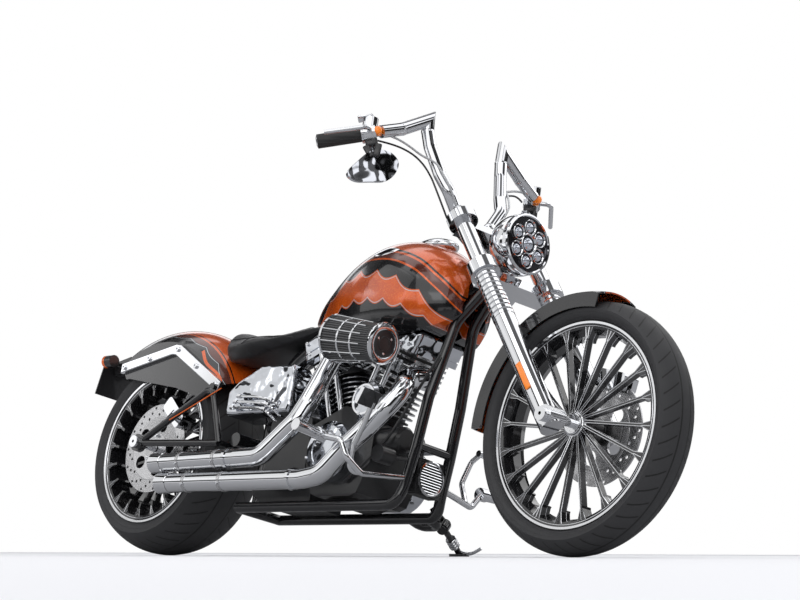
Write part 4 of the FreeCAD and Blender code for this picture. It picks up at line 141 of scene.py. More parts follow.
STUDIO_BANDS = [(0.0, 0.5), (0.5, 0.7), (0.53, 0.8), (0.555, 0.05), (0.64, 0.03), (0.665, 1.25),
                (0.74, 1.35), (0.765, 0.12), (0.86, 0.05), (0.89, 1.3), (1.0, 1.3)]
DIFFUSE_LIGHT = (0.86, 0.87, 0.89, 1)
WHITE = (1, 1, 1, 1)
world = bpy.data.worlds.new("studio")
bpy.context.scene.world = world
world.use_nodes = True
tree = world.node_tree
tree.nodes.clear()
rays = tree_node(tree, "LightPath")
way = tree_node(tree, "TexCoord").outputs["Generated"]
height = tree_node(tree, "SeparateXYZ", Vector=way).outputs["Z"]
ramp = tree_node(tree, "ValToRGB", Fac=calc(tree, "MULTIPLY_ADD", height, 0.5, 0.5))
while len(ramp.color_ramp.elements) < len(STUDIO_BANDS):
    ramp.color_ramp.elements.new(1.0)
for element, (spot, grey) in zip(ramp.color_ramp.elements, STUDIO_BANDS):
    element.position = spot
    element.color = (grey, grey, grey * 1.02, 1)
cards = tree_node(tree, "TexNoise", Vector=way, Scale=2.6, Detail=1.5)
card = tree_node(tree, "MapRange", Value=cards.outputs["Fac"], From_Min=0.5, From_Max=0.53,
                 To_Min=1.0, To_Max=0.1)
banded = blend(tree, 1.0, ramp.outputs["Color"], card.outputs[0], "MULTIPLY")
shown = calc(tree, "ADD", rays.outputs["Is Glossy Ray"], rays.outputs["Is Transmission Ray"])
lit = blend(tree, shown, DIFFUSE_LIGHT, banded)
surround = tree_node(tree, "Background", Color=blend(tree, rays.outputs["Is Camera Ray"], lit, WHITE))
tree_node(tree, "OutputWorld", Surface=surround.outputs[0])

LAMPS = [("key_lamp", (2.2, -4.6, 4.6), 6.0, 130), ("fill_lamp", (-3.4, -3.6, 3.4), 4.4, 50),
         ("back_lamp", (0.5, 4.4, 4.2), 4.6, 80)]
LAMP_TARGET = Vector((0, 0, 0.5))
for name, place, size, watts in LAMPS:
    lamp = bpy.data.objects.new(name, bpy.data.lights.new(name, "AREA"))
    bpy.context.collection.objects.link(lamp)
    lamp.data.size = size
    lamp.data.energy = watts
    lamp.matrix_world = (Matrix.Translation(place)
                         @ (LAMP_TARGET - Vector(place)).to_track_quat("-Z", "Y").to_matrix().to_4x4())


# Tyres. Moulded rubber with a shallow grooved tread; the side walls carry raised rings near the
# bead. They are stretched over the rims and held there by air.
def object_place(tree):
    return tree_node(tree, "TexCoord").outputs["Object"]


def local(tree, matrix):
    """A point of the surface in the axes of a matrix, as x, y and z outputs."""
    turn = matrix.inverted()
    mapped = tree_node(tree, "Mapping", Vector=object_place(tree), Location=turn.to_translation(),
                       Rotation=turn.to_euler())
    parts = tree_node(tree, "SeparateXYZ", Vector=mapped.outputs[0])
    return parts.outputs["X"], parts.outputs["Y"], parts.outputs["Z"]


def distance(tree, a, b):
    squares = calc(tree, "ADD", calc(tree, "MULTIPLY", a, a), calc(tree, "MULTIPLY", b, b))
    return calc(tree, "SQRT", squares)


def round_place(tree, matrix):
    """Radius, turn (in radians) and distance across, about the y axis of a matrix."""
    x, y, z = local(tree, matrix)
    return distance(tree, x, z), calc(tree, "ARCTAN2", z, x), y


def above(tree, value, level):
    return calc(tree, "GREATER_THAN", value, level)


def below(tree, value, level):
    return calc(tree, "LESS_THAN", value, level)


def near(tree, value, level, half):
    """1 where a value is within half of a level."""
    return below(tree, calc(tree, "ABSOLUTE", calc(tree, "SUBTRACT", value, level)), half)


def noise(tree, place, scale, detail):
    return tree_node(tree, "TexNoise", Vector=place, Scale=scale, Detail=detail).outputs["Fac"]


def emboss(tree, shader, height, strength, distance):
    """Give a finish relief from a height output."""
    bump = tree_node(tree, "Bump", Height=height, Strength=strength, Distance=distance)
    tree.links.new(bump.outputs[0], shader.inputs["Normal"])


def new_material(name, colour, rough, metal=0.0, coat=0.0):
    material = bpy.data.materials.new(name)
    material.use_nodes = True
    shader = material.node_tree.nodes["Principled BSDF"]
    shader.inputs["Base Color"].default_value = (*colour, 1)
    shader.inputs["Roughness"].default_value = rough
    shader.inputs["Metallic"].default_value = metal
    shader.inputs["Coat Weight"].default_value = coat
    return material, material.node_tree, shader


def vary_gloss(tree, shader, rough, wear, scale):
    """Let the roughness wander by a share called wear; gives the object coordinates."""
    place = object_place(tree)
    gloss = tree_node(tree, "MapRange", Value=noise(tree, place, scale, 4.0),
                      To_Min=rough * (1 - wear), To_Max=rough * (1 + wear))
    tree.links.new(gloss.outputs[0], shader.inputs["Roughness"])
    return place


def dress(material, *names):
    for name in names:
        mesh = frame["nodes"][name].data
        mesh.materials.clear()
        mesh.materials.append(material)


# name, wheel, radius of the tread, radius of the bead, half width and grooves in a turn
TYRES = [("front_tyre", FRONT_WHEEL, 0.3445, 0.281, 0.066, 46),
         ("rear_tyre", REAR_WHEEL, REAR_WHEEL_RADIUS, 0.246, 0.12, 40)]
RUBBER = (0.026, 0.026, 0.028, 1)
# Painted shade: the near black that the tread's grooves are painted.
PAINTED_GROOVE_SHADE = (0.006, 0.006, 0.006, 1)
for name, wheel, tread_radius, bead_radius, half, grooves in TYRES:
    rubber, tree, shader = new_material(name + "_rubber", (0.022, 0.022, 0.024), 0.62)
    place = vary_gloss(tree, shader, 0.6, 0.12, 30.0)
    radius, turn, aside = round_place(tree, wheel)
    beside = calc(tree, "ABSOLUTE", aside)
    spaced = calc(tree, "MULTIPLY", turn, grooves / math.tau)
    slant = calc(tree, "MULTIPLY_ADD", beside, 0.9 * grooves / (math.tau * tread_radius), spaced)
    sipe = near(tree, calc(tree, "FRACT", calc(tree, "ADD", slant, 100.0)), 0.5, 0.055)
    shoulder = above(tree, beside, half * 0.34)
    ring_groove = near(tree, beside, half * 0.24, 0.0022)
    cut = calc(tree, "MAXIMUM", calc(tree, "MULTIPLY", sipe, shoulder), ring_groove)
    groove = calc(tree, "MULTIPLY", above(tree, radius, tread_radius - 0.026), cut)
    wall = calc(tree, "SUBTRACT", radius, bead_radius)
    rings = calc(tree, "MAXIMUM", near(tree, wall, 0.01, 0.0014), near(tree, wall, 0.022, 0.0009))
    relief = calc(tree, "SUBTRACT", rings, calc(tree, "MULTIPLY", groove, 2.5))
    grain = noise(tree, place, 700.0, 2.0)
    emboss(tree, shader, calc(tree, "MULTIPLY_ADD", grain, 0.15, relief), 0.9, 0.0016)
    # The tread's grooves and the ring groove on the wall are painted near black: painted shade in recesses
    # that are only bump.
    tree.links.new(blend(tree, groove, RUBBER, PAINTED_GROOVE_SHADE), shader.inputs["Base Color"])
    dress(rubber, name)


# Rims. Cast wheels painted gloss black, then turned bright at the lip and along both edges of
# every swept blade; the hub is black with a bright cone, and each blade spreads at the rim.
def layered(name, under, over, mask, coat=0.0, grain=0.0):
    """Two finishes, each (colour, roughness, metal), with the second where mask(tree) is 1."""
    material, tree, shader = new_material(name, *under, coat)
    share = mask(tree)
    tree.links.new(blend(tree, share, (*under[0], 1), (*over[0], 1)), shader.inputs["Base Color"])
    for socket, low, high in (("Roughness", under[1], over[1]), ("Metallic", under[2], over[2])):
        level = tree_node(tree, "MapRange", Value=share, To_Min=low, To_Max=high)
        tree.links.new(level.outputs[0], shader.inputs[socket])
    if grain:
        emboss(tree, shader, noise(tree, object_place(tree), 500.0, 3.0), grain, 0.001)
    return material


def bright_above(wheel, lip, cone):
    """A mask of what lies beyond the lip's radius or inside the cone's."""
    def mask(tree):
        radius = round_place(tree, wheel)[0]
        return calc(tree, "MAXIMUM", above(tree, radius, lip), below(tree, radius, cone))
    return mask


def plain_finish(name, colour, rough, metal, coat, *gloss):
    """A finish of one colour whose gloss wanders as vary_gloss says."""
    material, tree, shader = new_material(name, colour, rough, metal, coat)
    vary_gloss(tree, shader, *gloss)
    return material


def select_only(*pieces):
    bpy.ops.object.select_all(action="DESELECT")
    for piece in pieces:
        piece.select_set(True)
    bpy.context.view_layer.objects.active = pieces[0]


def finish_piece(piece, name, body, material):
    """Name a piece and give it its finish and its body."""
    piece.name = name
    piece.data.name = name
    piece.data.materials.clear()
    piece.data.materials.append(material)
    select_only(piece)
    bpy.ops.object.shade_smooth_by_angle(angle=math.radians(35))
    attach(piece, body)
    return piece


def wires(runs, radius, smooth=False, sides=2):
    """Round wires along runs of points, as one mesh."""
    curve = bpy.data.curves.new("run", "CURVE")
    curve.dimensions = "3D"
    curve.bevel_depth = radius
    curve.bevel_resolution = sides
    curve.use_fill_caps = True
    for run in runs:
        spline = curve.splines.new("NURBS" if smooth else "POLY")
        spline.points.add(len(run) - 1)
        for point, spot in zip(spline.points, run):
            point.co = (*spot, 1)
        if smooth:
            spline.order_u = 3
            spline.use_endpoint_u = True
            spline.resolution_u = 8
    piece = bpy.data.objects.new("run", curve)
    bpy.context.collection.objects.link(piece)
    select_only(piece)
    bpy.ops.object.convert(target="MESH")
    return bpy.context.object


def circle(count, radius, start=0.0):
    """Points spaced round a circle from a starting angle, as pairs."""
    angles = [start + i * math.tau / count for i in range(count)]
    return [(radius * math.cos(angle), radius * math.sin(angle)) for angle in angles]


GLOSS_BLACK = ((0.01, 0.01, 0.011), 0.1, 0.0)
TURNED_ALLOY = ((0.8, 0.81, 0.83), 0.12, 1.0)
bright_alloy = plain_finish("turned_alloy", *TURNED_ALLOY, 0.0, 0.13, 0.3, 60.0)
# share of the way from hub to rim, share of the sweep and half width, along a blade
BLADE_SHARES = [(0.0, 0.0, 4.0), (0.21, 0.75, 4.0), (0.87, 0.98, 4.0), (1.0, 1.0, 13.5)]
BLADE_SWEEP = math.radians(22)
BLADE_COUNT = 20
EDGE_INSET = 0.7
TICK_LENGTH = 30
LIP_FROM_FOOT = 4
# end, wheel, radius of the lip and of the cone, blade's root and foot, the faces whose edges are
# bright (the rear's outer one twice), and the first of BLADE_SHARES that the edges start at
RIMS = [("front", FRONT_WHEEL, 0.2745, 0.0262, 24, 265, (0.044, 0.024), 0),
        ("rear", REAR_WHEEL, 0.2385, 0.0345, 32, 228, (0.109, 0.109), 2)]
for end, wheel, lip, cone, root, foot, faces, first in RIMS:
    rim, body = end + "_rim", end + "_wheel"
    outer_face = Vector((0, -faces[0], 0))
    dress(layered(rim + "_finish", GLOSS_BLACK, TURNED_ALLOY, bright_above(wheel, lip, cone), 0.8), rim)
    runs, ticks = [], []
    for blade in range(BLADE_COUNT):
        for edge in (-1, 1):
            for face in faces:
                run = []
                for share, swept, half in BLADE_SHARES[first:]:
                    angle = BLADE_SWEEP * swept + blade * math.tau / BLADE_COUNT
                    spot = Vector((-math.cos(angle), 0, math.sin(angle))) * (root + (foot - root) * share)
                    spot += Vector((math.sin(angle), 0, math.cos(angle))) * (half - EDGE_INSET) * edge
                    run.append(wheel @ Vector((spot.x * MM, -face, spot.z * MM)))
                runs.append(run)
        angle = BLADE_SWEEP + blade * math.tau / BLADE_COUNT
        ray = Vector((-math.cos(angle), 0, math.sin(angle)))
        ticks.append([wheel @ (ray * (reach * MM) + outer_face) for reach in (foot - TICK_LENGTH, foot)])
    ring = [wheel @ Vector((x, -faces[0], z)) for x, z in circle(120, (foot + LIP_FROM_FOOT) * MM)]
    finish_piece(wires(runs, 0.0011, sides=1), rim + "_blade_edges", body, bright_alloy)
    finish_piece(wires(ticks, 0.0016, sides=1), rim + "_ticks", body, bright_alloy)
    finish_piece(wires([ring + ring[:1]], 0.0016), rim + "_lip_ring", body, bright_alloy)


# Brake discs. Drilled steel rings, ground bright where the pads run and brushed round on the
# carrier; five button-head screws hold each one to its hub.
disc_steel, tree, shader = new_material("disc_steel", (0.62, 0.62, 0.63), 0.26, 1.0)
nearest = calc(tree, "MINIMUM", *[round_place(tree, wheel)[0] for wheel in (FRONT_WHEEL, REAR_WHEEL)])
rings = tree_node(tree, "TexNoise", {"noise_dimensions": "1D"}, W=nearest, Scale=900.0,
                  Detail=3.0).outputs["Fac"]
emboss(tree, shader, rings, 0.25, 0.0006)
gloss = tree_node(tree, "MapRange", Value=rings, To_Min=0.16, To_Max=0.34)
tree.links.new(gloss.outputs[0], shader.inputs["Roughness"])
dress(disc_steel, "front_disc", "rear_disc")


def aim(spot, way):
    """A matrix at a spot whose Z axis points along a way."""
    return Matrix.Translation(spot) @ Vector(way).to_track_quat("Z", "Y").to_matrix().to_4x4()


def screw_head(radius, height):
    """A chamfered head with a socket sunk in its top, standing on the origin."""
    bpy.ops.object.select_all(action="DESELECT")
    bpy.ops.mesh.primitive_cylinder_add(vertices=24, radius=radius, depth=height,
                                        location=(0, 0, height / 2))
    head = bpy.context.object
    bpy.ops.object.transform_apply()
    for element in (*head.data.vertices, *head.data.edges):
        element.select = False
    for face in head.data.polygons:
        face.select = face.normal.z > 0.9
    bpy.ops.object.mode_set(mode="EDIT")
    bpy.ops.mesh.select_mode(type="FACE")
    bpy.ops.mesh.inset(thickness=radius * 0.12)
    bpy.ops.transform.translate(value=(0, 0, height * 0.16))
    bpy.ops.mesh.inset(thickness=radius * 0.33)
    bpy.ops.mesh.extrude_region_move(TRANSFORM_OT_translate={"value": (0, 0, -height * 0.5)})
    bpy.ops.object.mode_set(mode="OBJECT")
    return head


def joined(pieces):
    select_only(*pieces)
    if len(pieces) > 1:
        bpy.ops.object.join()
    return bpy.context.object


def copies(model, places):
    """Copies of a model at matrices, joined to one mesh; the model itself goes."""
    made = []
    for place in places:
        copy = bpy.data.objects.new(model.name + "_copy", model.data.copy())
        copy.data.transform(place)
        bpy.context.collection.objects.link(copy)
        made.append(copy)
    bpy.data.objects.remove(model)
    return joined(made)


chrome = plain_finish("chrome_plate", (0.8, 0.81, 0.83), 0.05, 1.0, 0.0, 0.045, 0.4, 5.0)


def plated(piece, name, body="frame"):
    return finish_piece(piece, name, body, chrome)


def screws(name, places, radius, height, body="frame"):
    return plated(copies(screw_head(radius, height), places), name, body)


for name, wheel, body, face in (("front_disc_screws", FRONT_WHEEL, "front_wheel", 0.0662),
                                ("rear_disc_screws", REAR_WHEEL, "rear_wheel", -0.1032)):
    outward = (0, math.copysign(1, face), 0)
    screws(name, [wheel @ aim((x, face, z), outward) for x, z in circle(5, 0.042, 0.3)], 0.0065, 0.005, body)


# Axles. Steel shafts through each wheel with round chrome nuts, an open hex in the end and a
# stepped bright spacer cone on the right of the front hub.
def recalculate_normals(piece, weld=False):
    """Turn a piece's faces outward, with points that coincide welded first."""
    select_only(piece)
    bpy.ops.object.mode_set(mode="EDIT")
    bpy.ops.mesh.select_all(action="SELECT")
    if weld:
        bpy.ops.mesh.remove_doubles(threshold=1e-6)
    bpy.ops.mesh.normals_make_consistent(inside=False)
    bpy.ops.object.mode_set(mode="OBJECT")


def turned_shape(profile, steps):
    """A shape spun about Z from (radius, height) points in millimetres."""
    mesh = bpy.data.meshes.new("turned")
    mesh.from_pydata([(radius * MM, 0, height * MM) for radius, height in profile],
                     [(i, i + 1) for i in range(len(profile) - 1)], [])
    piece = bpy.data.objects.new("turned", mesh)
    bpy.context.collection.objects.link(piece)
    select_only(piece)
    bpy.ops.object.mode_set(mode="EDIT")
    bpy.ops.mesh.select_all(action="SELECT")
    bpy.ops.mesh.spin(steps=steps, angle=math.tau, center=(0, 0, 0), axis=(0, 0, 1))
    bpy.ops.object.mode_set(mode="OBJECT")
    recalculate_normals(piece, weld=True)
    return piece


def turned(name, profile, steps, places, body="frame", material=chrome):
    """One piece of a turned part that stands at each of the matrices."""
    return finish_piece(copies(turned_shape(profile, steps), places), name, body, material)


dress(chrome, "front_axle", "rear_axle")
turned("front_hub_cone", [(0, 0), (38.5, 0), (38.5, 4), (34, 6), (34, 10), (29, 12), (29, 16), (24, 18),
       (0, 18)], 48, [FRONT_WHEEL @ aim((0, -0.034, 0), (0, -1, 0))], "front_wheel")


# Belt drive. A toothed rubber belt joins the primary to a chrome pulley that is screwed to the
# rear hub on the left.
def ripple(tree, value, rate):
    """A wave along a value, with a rate in radians per metre or per radian."""
    return calc(tree, "SINE", calc(tree, "MULTIPLY", value, rate))


belt_rubber, tree, shader = new_material("belt_rubber", (0.02, 0.02, 0.02), 0.7)
emboss(tree, shader, ripple(tree, local(tree, REAR_WHEEL)[1], 2600.0), 0.4, 0.0006)
dress(belt_rubber, "drive_belt")
dress(chrome, "rear_pulley")
places = [REAR_WHEEL @ aim((x, 0.142, z), (0, 1, 0)) for x, z in circle(5, 0.03)]
screws("pulley_screws", places, 0.007, 0.006, "rear_wheel")


# Fork. Polished aluminium sliders on hard-chromed tubes, ringed chrome covers between the lower
# clamp and the sliders, and clamps whose caps close the tubes; amber lenses on the sliders.
def rounded_block(size, place, bevel):
    """A block with rounded edges at a matrix."""
    bpy.ops.object.select_all(action="DESELECT")
    bpy.ops.mesh.primitive_cube_add(size=1)
    block = bpy.context.object
    block.scale = size
    bpy.ops.object.transform_apply(scale=True)
    edge = block.modifiers.new("edge", "BEVEL")
    edge.width = bevel
    edge.segments = 3
    bpy.ops.object.modifier_apply(modifier="edge")
    block.data.transform(place)
    return block


dress(chrome, "fork_tubes", "fork_sliders", "fork_covers", "triple_clamps")
FORK_HALF = 131
FORK_TOP, TUBE_LEAD = 1136.5, 65
LENS_HEIGHT, LENS_LEAD, LENS_OUT = 506, 69, 32.5
stem_way = stem(1, 0, 0) - stem(0, 0, 0)
places = [aim(stem(FORK_TOP, TUBE_LEAD, side * FORK_HALF), stem_way) for side in (-1, 1)]
turned("fork_cap_domes", [(0, 20), (9, 18.5), (16.5, 14), (21.5, 7), (23.5, 0), (0, 0)], 48, places,
       "fork")
amber, tree, shader = new_material("amber_lens", (0.95, 0.24, 0.01), 0.12, 0.0, 1.0)
x, y, z = local(tree, FORK)
prisms = calc(tree, "MULTIPLY", ripple(tree, z, 1800.0), ripple(tree, x, 1800.0))
emboss(tree, shader, prisms, 0.5, 0.0006)
lens = rounded_block((0.018, 0.006, 0.088), Matrix(), 0.0028)
places = [Matrix.Translation(stem(LENS_HEIGHT, LENS_LEAD, side * (FORK_HALF + LENS_OUT)))
          @ FORK_AXES @ Matrix.Rotation(-RAKE, 4, "Y") for side in (-1, 1)]
finish_piece(copies(lens, places), "fork_reflectors", "fork", amber)


# Handlebar and its hand controls. One tall chrome bar stands in two riser blocks; each end holds a
# rubber grip, a chrome switch housing, a black switch block, a lever and an amber marker lamp.
BAR_TOP = 1121
BAR_RISE = 378
BAR_REACH = 440
GRIP_INNER = (0.7519, 0.1291, 0.7273)
GRIP_END = (0.836, -0.2127, 1.0)


def bar_spot(rise, lead, reach, side):
    """A point by the bar in shares of its rise, ahead of the fork's axis too, and of its reach."""
    return stem(BAR_TOP + rise * BAR_RISE, lead * BAR_RISE, side * reach * BAR_REACH)


def grip_line(side):
    """The grip's outer end and the way along it towards the middle of the bar."""
    end = bar_spot(*GRIP_END, side)
    return end, (bar_spot(*GRIP_INNER, side) - end).normalized()


dress(chrome, "handlebar", "hand_controls")
grip_rubber, tree, shader = new_material("grip_rubber", (0.018, 0.018, 0.018), 0.6)
x, y, z = local(tree, aim(*grip_line(1)))
emboss(tree, shader, ripple(tree, z, 900.0), 0.6, 0.001)
dress(grip_rubber, "grips")
satin_black = plain_finish("satin_black", (0.012, 0.012, 0.013), 0.35, 0.0, 0.3, 0.35, 0.2, 60.0)
HOUSING, LID, MARKER = 0.148, 0.142, 0.171
blocks, paddles, markers, bands, lids, lid_screws, plugs = [], [], [], [], [], [], []
for side in (-1, 1):
    end, run = grip_line(side)
    rise = (up - run * up.dot(run)).normalized()
    front = rise.cross(run) * side
    axes = Matrix((run, rise.cross(run), rise)).transposed().to_4x4()
    at = end + run * HOUSING
    under = Matrix.Translation(at - rise * 0.03 - front * 0.004) @ axes
    blocks.append(rounded_block((0.036, 0.04, 0.026), under, 0.006))
    for inward, tilt in ((-0.012, -0.35), (0.014, 0.35)):
        spot = Matrix.Translation(at - rise * 0.058 + run * inward + front * 0.012)
        paddle = spot @ axes @ Matrix.Rotation(tilt, 4, "Y")
        paddles.append(rounded_block((0.02, 0.009, 0.04), paddle, 0.004))
    lid = end + run * LID + rise * 0.0485
    lids.append(rounded_block((0.046, 0.044, 0.006), Matrix.Translation(lid) @ axes, 0.0025))
    for dx in (-0.016, 0.016):
        for dy in (-0.015, 0.015):
            lid_screws.append(Matrix.Translation(lid + run * dx + front * dy + rise * 0.003) @ axes)
    markers.append(aim(end + run * MARKER + front * 0.016 - rise * 0.001, front))
    bands += [aim(at + run * spread, run) for spread in (0.006, -0.022)]
    plugs.append(aim(end - run * 0.006, -run))
finish_piece(joined(blocks), "switch_blocks", "fork", satin_black)
finish_piece(joined(paddles), "switch_paddles", "fork", satin_black)
plated(joined(lids), "fluid_cup_lids", "fork")
screws("cup_lid_screws", lid_screws, 0.0032, 0.0022, "fork")
turned("bar_marker_lamps", [(0, 13), (6, 12), (10.5, 9), (12.8, 4), (13, 0), (13, -14), (0, -14)], 32,
       markers, "fork", material=amber)
turned("housing_bands", [(26.2, -2.2), (27.2, -1.4), (27.2, 1.4), (26.2, 2.2), (26.2, -2.2)], 40, bands,
       "fork")
turned("grip_end_plugs", [(0, 4), (12, 3.5), (18.5, 1), (20.5, -3), (0, -3)], 32, plugs, "fork")


# Brake hose and control cables. Pale braided hose and black cables run down the bar from each
# hand control, held to the uprights, and pass behind the lamp to the lower clamp.
HOSE = [(0.775, 0.1, 0.7), (0.75, 0.135, 0.64), (0.7, 0.15, 0.52), (0.64, 0.14, 0.4),
        (0.56, 0.19, 0.335), (0.45, 0.19, 0.318), (0.34, 0.18, 0.285), (0.2, 0.09, 0.19),
        (0.05, 0.11, 0.15), (-0.2, 0.1, 0.13), (-0.42, 0.16, 0.12)]
CABLE = [(0.76, 0.04, 0.69), (0.72, 0.09, 0.6), (0.66, 0.12, 0.48), (0.6, 0.11, 0.385),
         (0.5, 0.085, 0.322), (0.4, 0.065, 0.3), (0.28, 0.03, 0.26), (0.15, -0.04, 0.18),
         (0.0, -0.02, 0.16), (-0.22, 0.03, 0.14), (-0.45, 0.11, 0.11)]
braid, tree, shader = new_material("braided_hose", (0.55, 0.56, 0.57), 0.38, 0.7)
weave = tree_node(tree, "TexVoronoi", Vector=object_place(tree), Scale=900.0)
emboss(tree, shader, weave.outputs["Distance"], 0.5, 0.0005)
for name, route, radius, slot, material in (("bar_hoses", HOSE, 0.0034, "chrome", braid),
                                            ("bar_cables", CABLE, 0.003, "black_rubber", satin_black)):
    runs = [[bar_spot(*spot, side) for spot in route] for side in (-1, 1)]
    finish_piece(wires(runs, radius, smooth=True), name, "fork", material)


# Mirrors. Teardrop chrome housings on slim stems; the glass faces the rider. The same polish,
# which swells a little, is on the engine's covers.
polished_cover, tree, shader = new_material("polished_cover", (0.66, 0.68, 0.72), 0.06, 1.0)
place = vary_gloss(tree, shader, 0.06, 0.4, 9.0)
emboss(tree, shader, noise(tree, place, 9.0, 1.5), 0.7, 0.045)
dress(polished_cover, "mirrors")


# Headlamp. A chrome bowl with a rim; inside it six round lamp units sit round a centre one
# behind clear glass.
LAMP = Matrix.Translation(on_fork(1413, 0, 892)) @ FORK_AXES
BOWL_CHROME = ((0.8, 0.81, 0.83), 0.05, 1.0)
BOWL_DARK = ((0.09, 0.09, 0.1), 0.2, 1.0)


def in_lamp(tree):
    """A mask of the bowl's inside, which the glass covers."""
    x, y, z = local(tree, LAMP)
    return calc(tree, "MULTIPLY", below(tree, distance(tree, y, z), 0.0805), above(tree, x, -0.0006))


dress(layered("headlamp_finish", BOWL_CHROME, BOWL_DARK, in_lamp), "headlamp")
units = [(0.0, 0.0, 1.15)] + [(y, z, 0.86) for y, z in circle(6, 0.049, math.pi / 6)]
places = [LAMP @ aim((0.0022, y, z), (1, 0, 0)) @ Matrix.Diagonal((size, size, size, 1))
          for y, z, size in units]
turned("lamp_unit_rims", [(23.5, 0), (26.5, 0), (26.5, 5.5), (25, 7), (23.5, 6), (21.5, 1.5), (23.5, 0)],
       36, places, "fork")
lamp_glass = plain_finish("lamp_lens", (0.62, 0.66, 0.74), 0.06, 0.75, 1.0, 0.07, 0.4, 120.0)
turned("lamp_unit_lenses", [(0, 8.8), (7, 8), (12.5, 5.8), (16, 2.5), (16.8, 0), (0, 0)], 32, places,
       "fork", material=lamp_glass)
turned("headlamp_rim", [(79, 0), (86, 0), (88.2, 2.5), (87, 6), (82, 7.2), (79, 4.5), (79, 0)], 72,
       [LAMP @ aim((0.0002, 0, 0), (1, 0, 0))], "fork")


# Frame. Round steel tube, welded and painted gloss black, with two rails under the engine, two
# downtubes to the steering head and a swinging fork of the same finish for the rear wheel.
frame_paint = plain_finish("frame_paint", (0.008, 0.008, 0.009), 0.12, 0.0, 0.6, 0.13, 0.4, 12.0)
dress(frame_paint, "main_frame", "rear_fork")
accent_orange = plain_finish("accent_orange", (0.75, 0.13, 0.01), 0.22, 0.4, 1.0, 0.22, 0.3, 40.0)
accent = [bike(x, -177.6, z) for x, z in ((150, 391), (265, 436), (380, 482))]
finish_piece(wires([accent], 0.0021), "fork_accent_line", "frame", accent_orange)


# Painted sheet metal: tank and both fenders. Pressed steel in a candy orange over metal flake,
# with brown and black bands under it, edged by grey pinstripes and cleared over.
ORANGE = (0.62, 0.085, 0.004, 1)
DEEP_ORANGE = (0.3, 0.03, 0.003, 1)
FLAKE = (0.95, 0.3, 0.04, 1)
BROWN = (0.085, 0.013, 0.004, 1)
PAINT_BLACK = (0.006, 0.006, 0.007, 1)
PIN_GREY = (0.42, 0.42, 0.44, 1)
# The lines between the tank's colours, as x and height in millimetres.
THIN_LINE = [(600, 735), (686, 822), (800, 884), (936, 893), (1080, 858), (1180, 795), (1240, 735)]
BROWN_FOOT = [(600, 700), (700, 790), (800, 850), (936, 858), (1080, 822), (1180, 755), (1240, 690)]
BLACK_FOOT = [(600, 690), (700, 765), (800, 818), (936, 822), (1080, 780), (1180, 712), (1240, 650)]
LOW_BLACK = [(600, 680), (700, 700), (800, 722), (936, 728), (1080, 700), (1180, 650), (1240, 590)]
CURVE_LENGTH = 2.0
CURVE_HEIGHT = 1.2


def level_at(tree, x, points):
    """Height over x along a smooth line through points in millimetres."""
    curve = tree_node(tree, "FloatCurve", Value=calc(tree, "DIVIDE", x, CURVE_LENGTH))
    line = curve.mapping.curves[0]
    spots = [(x_mm * MM / CURVE_LENGTH, z_mm * MM / CURVE_HEIGHT) for x_mm, z_mm in points]
    line.points[0].location = spots[0]
    line.points[1].location = spots[-1]
    for spot in spots[1:-1]:
        line.points.new(*spot)
    curve.mapping.update()
    return calc(tree, "MULTIPLY", curve.outputs[0], CURVE_HEIGHT)


def wavy(tree, level, along, depth, length):
    """A level with rounded scallops of a depth and length along it."""
    swing = calc(tree, "ABSOLUTE", ripple(tree, along, math.pi / length))
    return calc(tree, "MULTIPLY_ADD", swing, -depth, level)


def flake_orange(tree):
    """Candy orange that clouds towards a deeper tone, with fine flake in it."""
    place = object_place(tree)
    tone = tree_node(tree, "MapRange", Value=noise(tree, place, 7.0, 3.0), From_Min=0.45,
                     From_Max=0.72, To_Max=0.7)
    flake = tree_node(tree, "TexVoronoi", Vector=place, Scale=650.0).outputs["Color"]
    red = tree_node(tree, "SeparateXYZ", Vector=flake).outputs["X"]
    spark = tree_node(tree, "MapRange", Value=red, From_Min=0.72, From_Max=1.0, To_Max=0.45)
    return blend(tree, spark.outputs[0], blend(tree, tone.outputs[0], ORANGE, DEEP_ORANGE), FLAKE)


def tank_colours(tree):
    x, y, z = local(tree, BIKE)
    thin = level_at(tree, x, THIN_LINE)
    brown = level_at(tree, x, BROWN_FOOT)
    black = wavy(tree, level_at(tree, x, BLACK_FOOT), x, 0.022, 0.088)
    low = wavy(tree, level_at(tree, x, LOW_BLACK), calc(tree, "ADD", x, 0.03), 0.016, 0.07)
    orange = flake_orange(tree)
    colour = blend(tree, above(tree, z, low), PAINT_BLACK, orange)
    colour = blend(tree, above(tree, z, black), colour, PAINT_BLACK)
    colour = blend(tree, above(tree, z, brown), colour, BROWN)
    colour = blend(tree, above(tree, z, calc(tree, "SUBTRACT", thin, 0.01)), colour, orange)
    colour = blend(tree, near(tree, z, thin, 0.0032), colour, PAINT_BLACK)
    colour = blend(tree, near(tree, z, brown, 0.003), colour, orange)
    for line, gap in ((black, -0.005), (low, 0.004)):
        colour = blend(tree, near(tree, z, calc(tree, "ADD", line, gap), 0.0013), colour, PIN_GREY)
    return colour


def rear_fender_colours(tree):
    radius, turn, aside = round_place(tree, REAR_WHEEL)
    edge = calc(tree, "MULTIPLY_ADD", calc(tree, "ABSOLUTE", aside), -0.42, radius)
    orange = flake_orange(tree)
    black = wavy(tree, 0.327, turn, 0.01, 0.26)
    colour = blend(tree, above(tree, edge, black), PAINT_BLACK, BROWN)
    colour = blend(tree, above(tree, edge, 0.341), colour, orange)
    colour = blend(tree, near(tree, edge, 0.35, 0.002), colour, PAINT_BLACK)
    colour = blend(tree, near(tree, edge, calc(tree, "SUBTRACT", black, 0.004), 0.0011), colour, PIN_GREY)
    curl = calc(tree, "MULTIPLY_ADD", ripple(tree, turn, 13.0), 0.01, 0.3)
    lick = calc(tree, "MULTIPLY", near(tree, edge, curl, 0.0055), near(tree, turn, 0.8, 0.22))
    return blend(tree, lick, colour, orange)


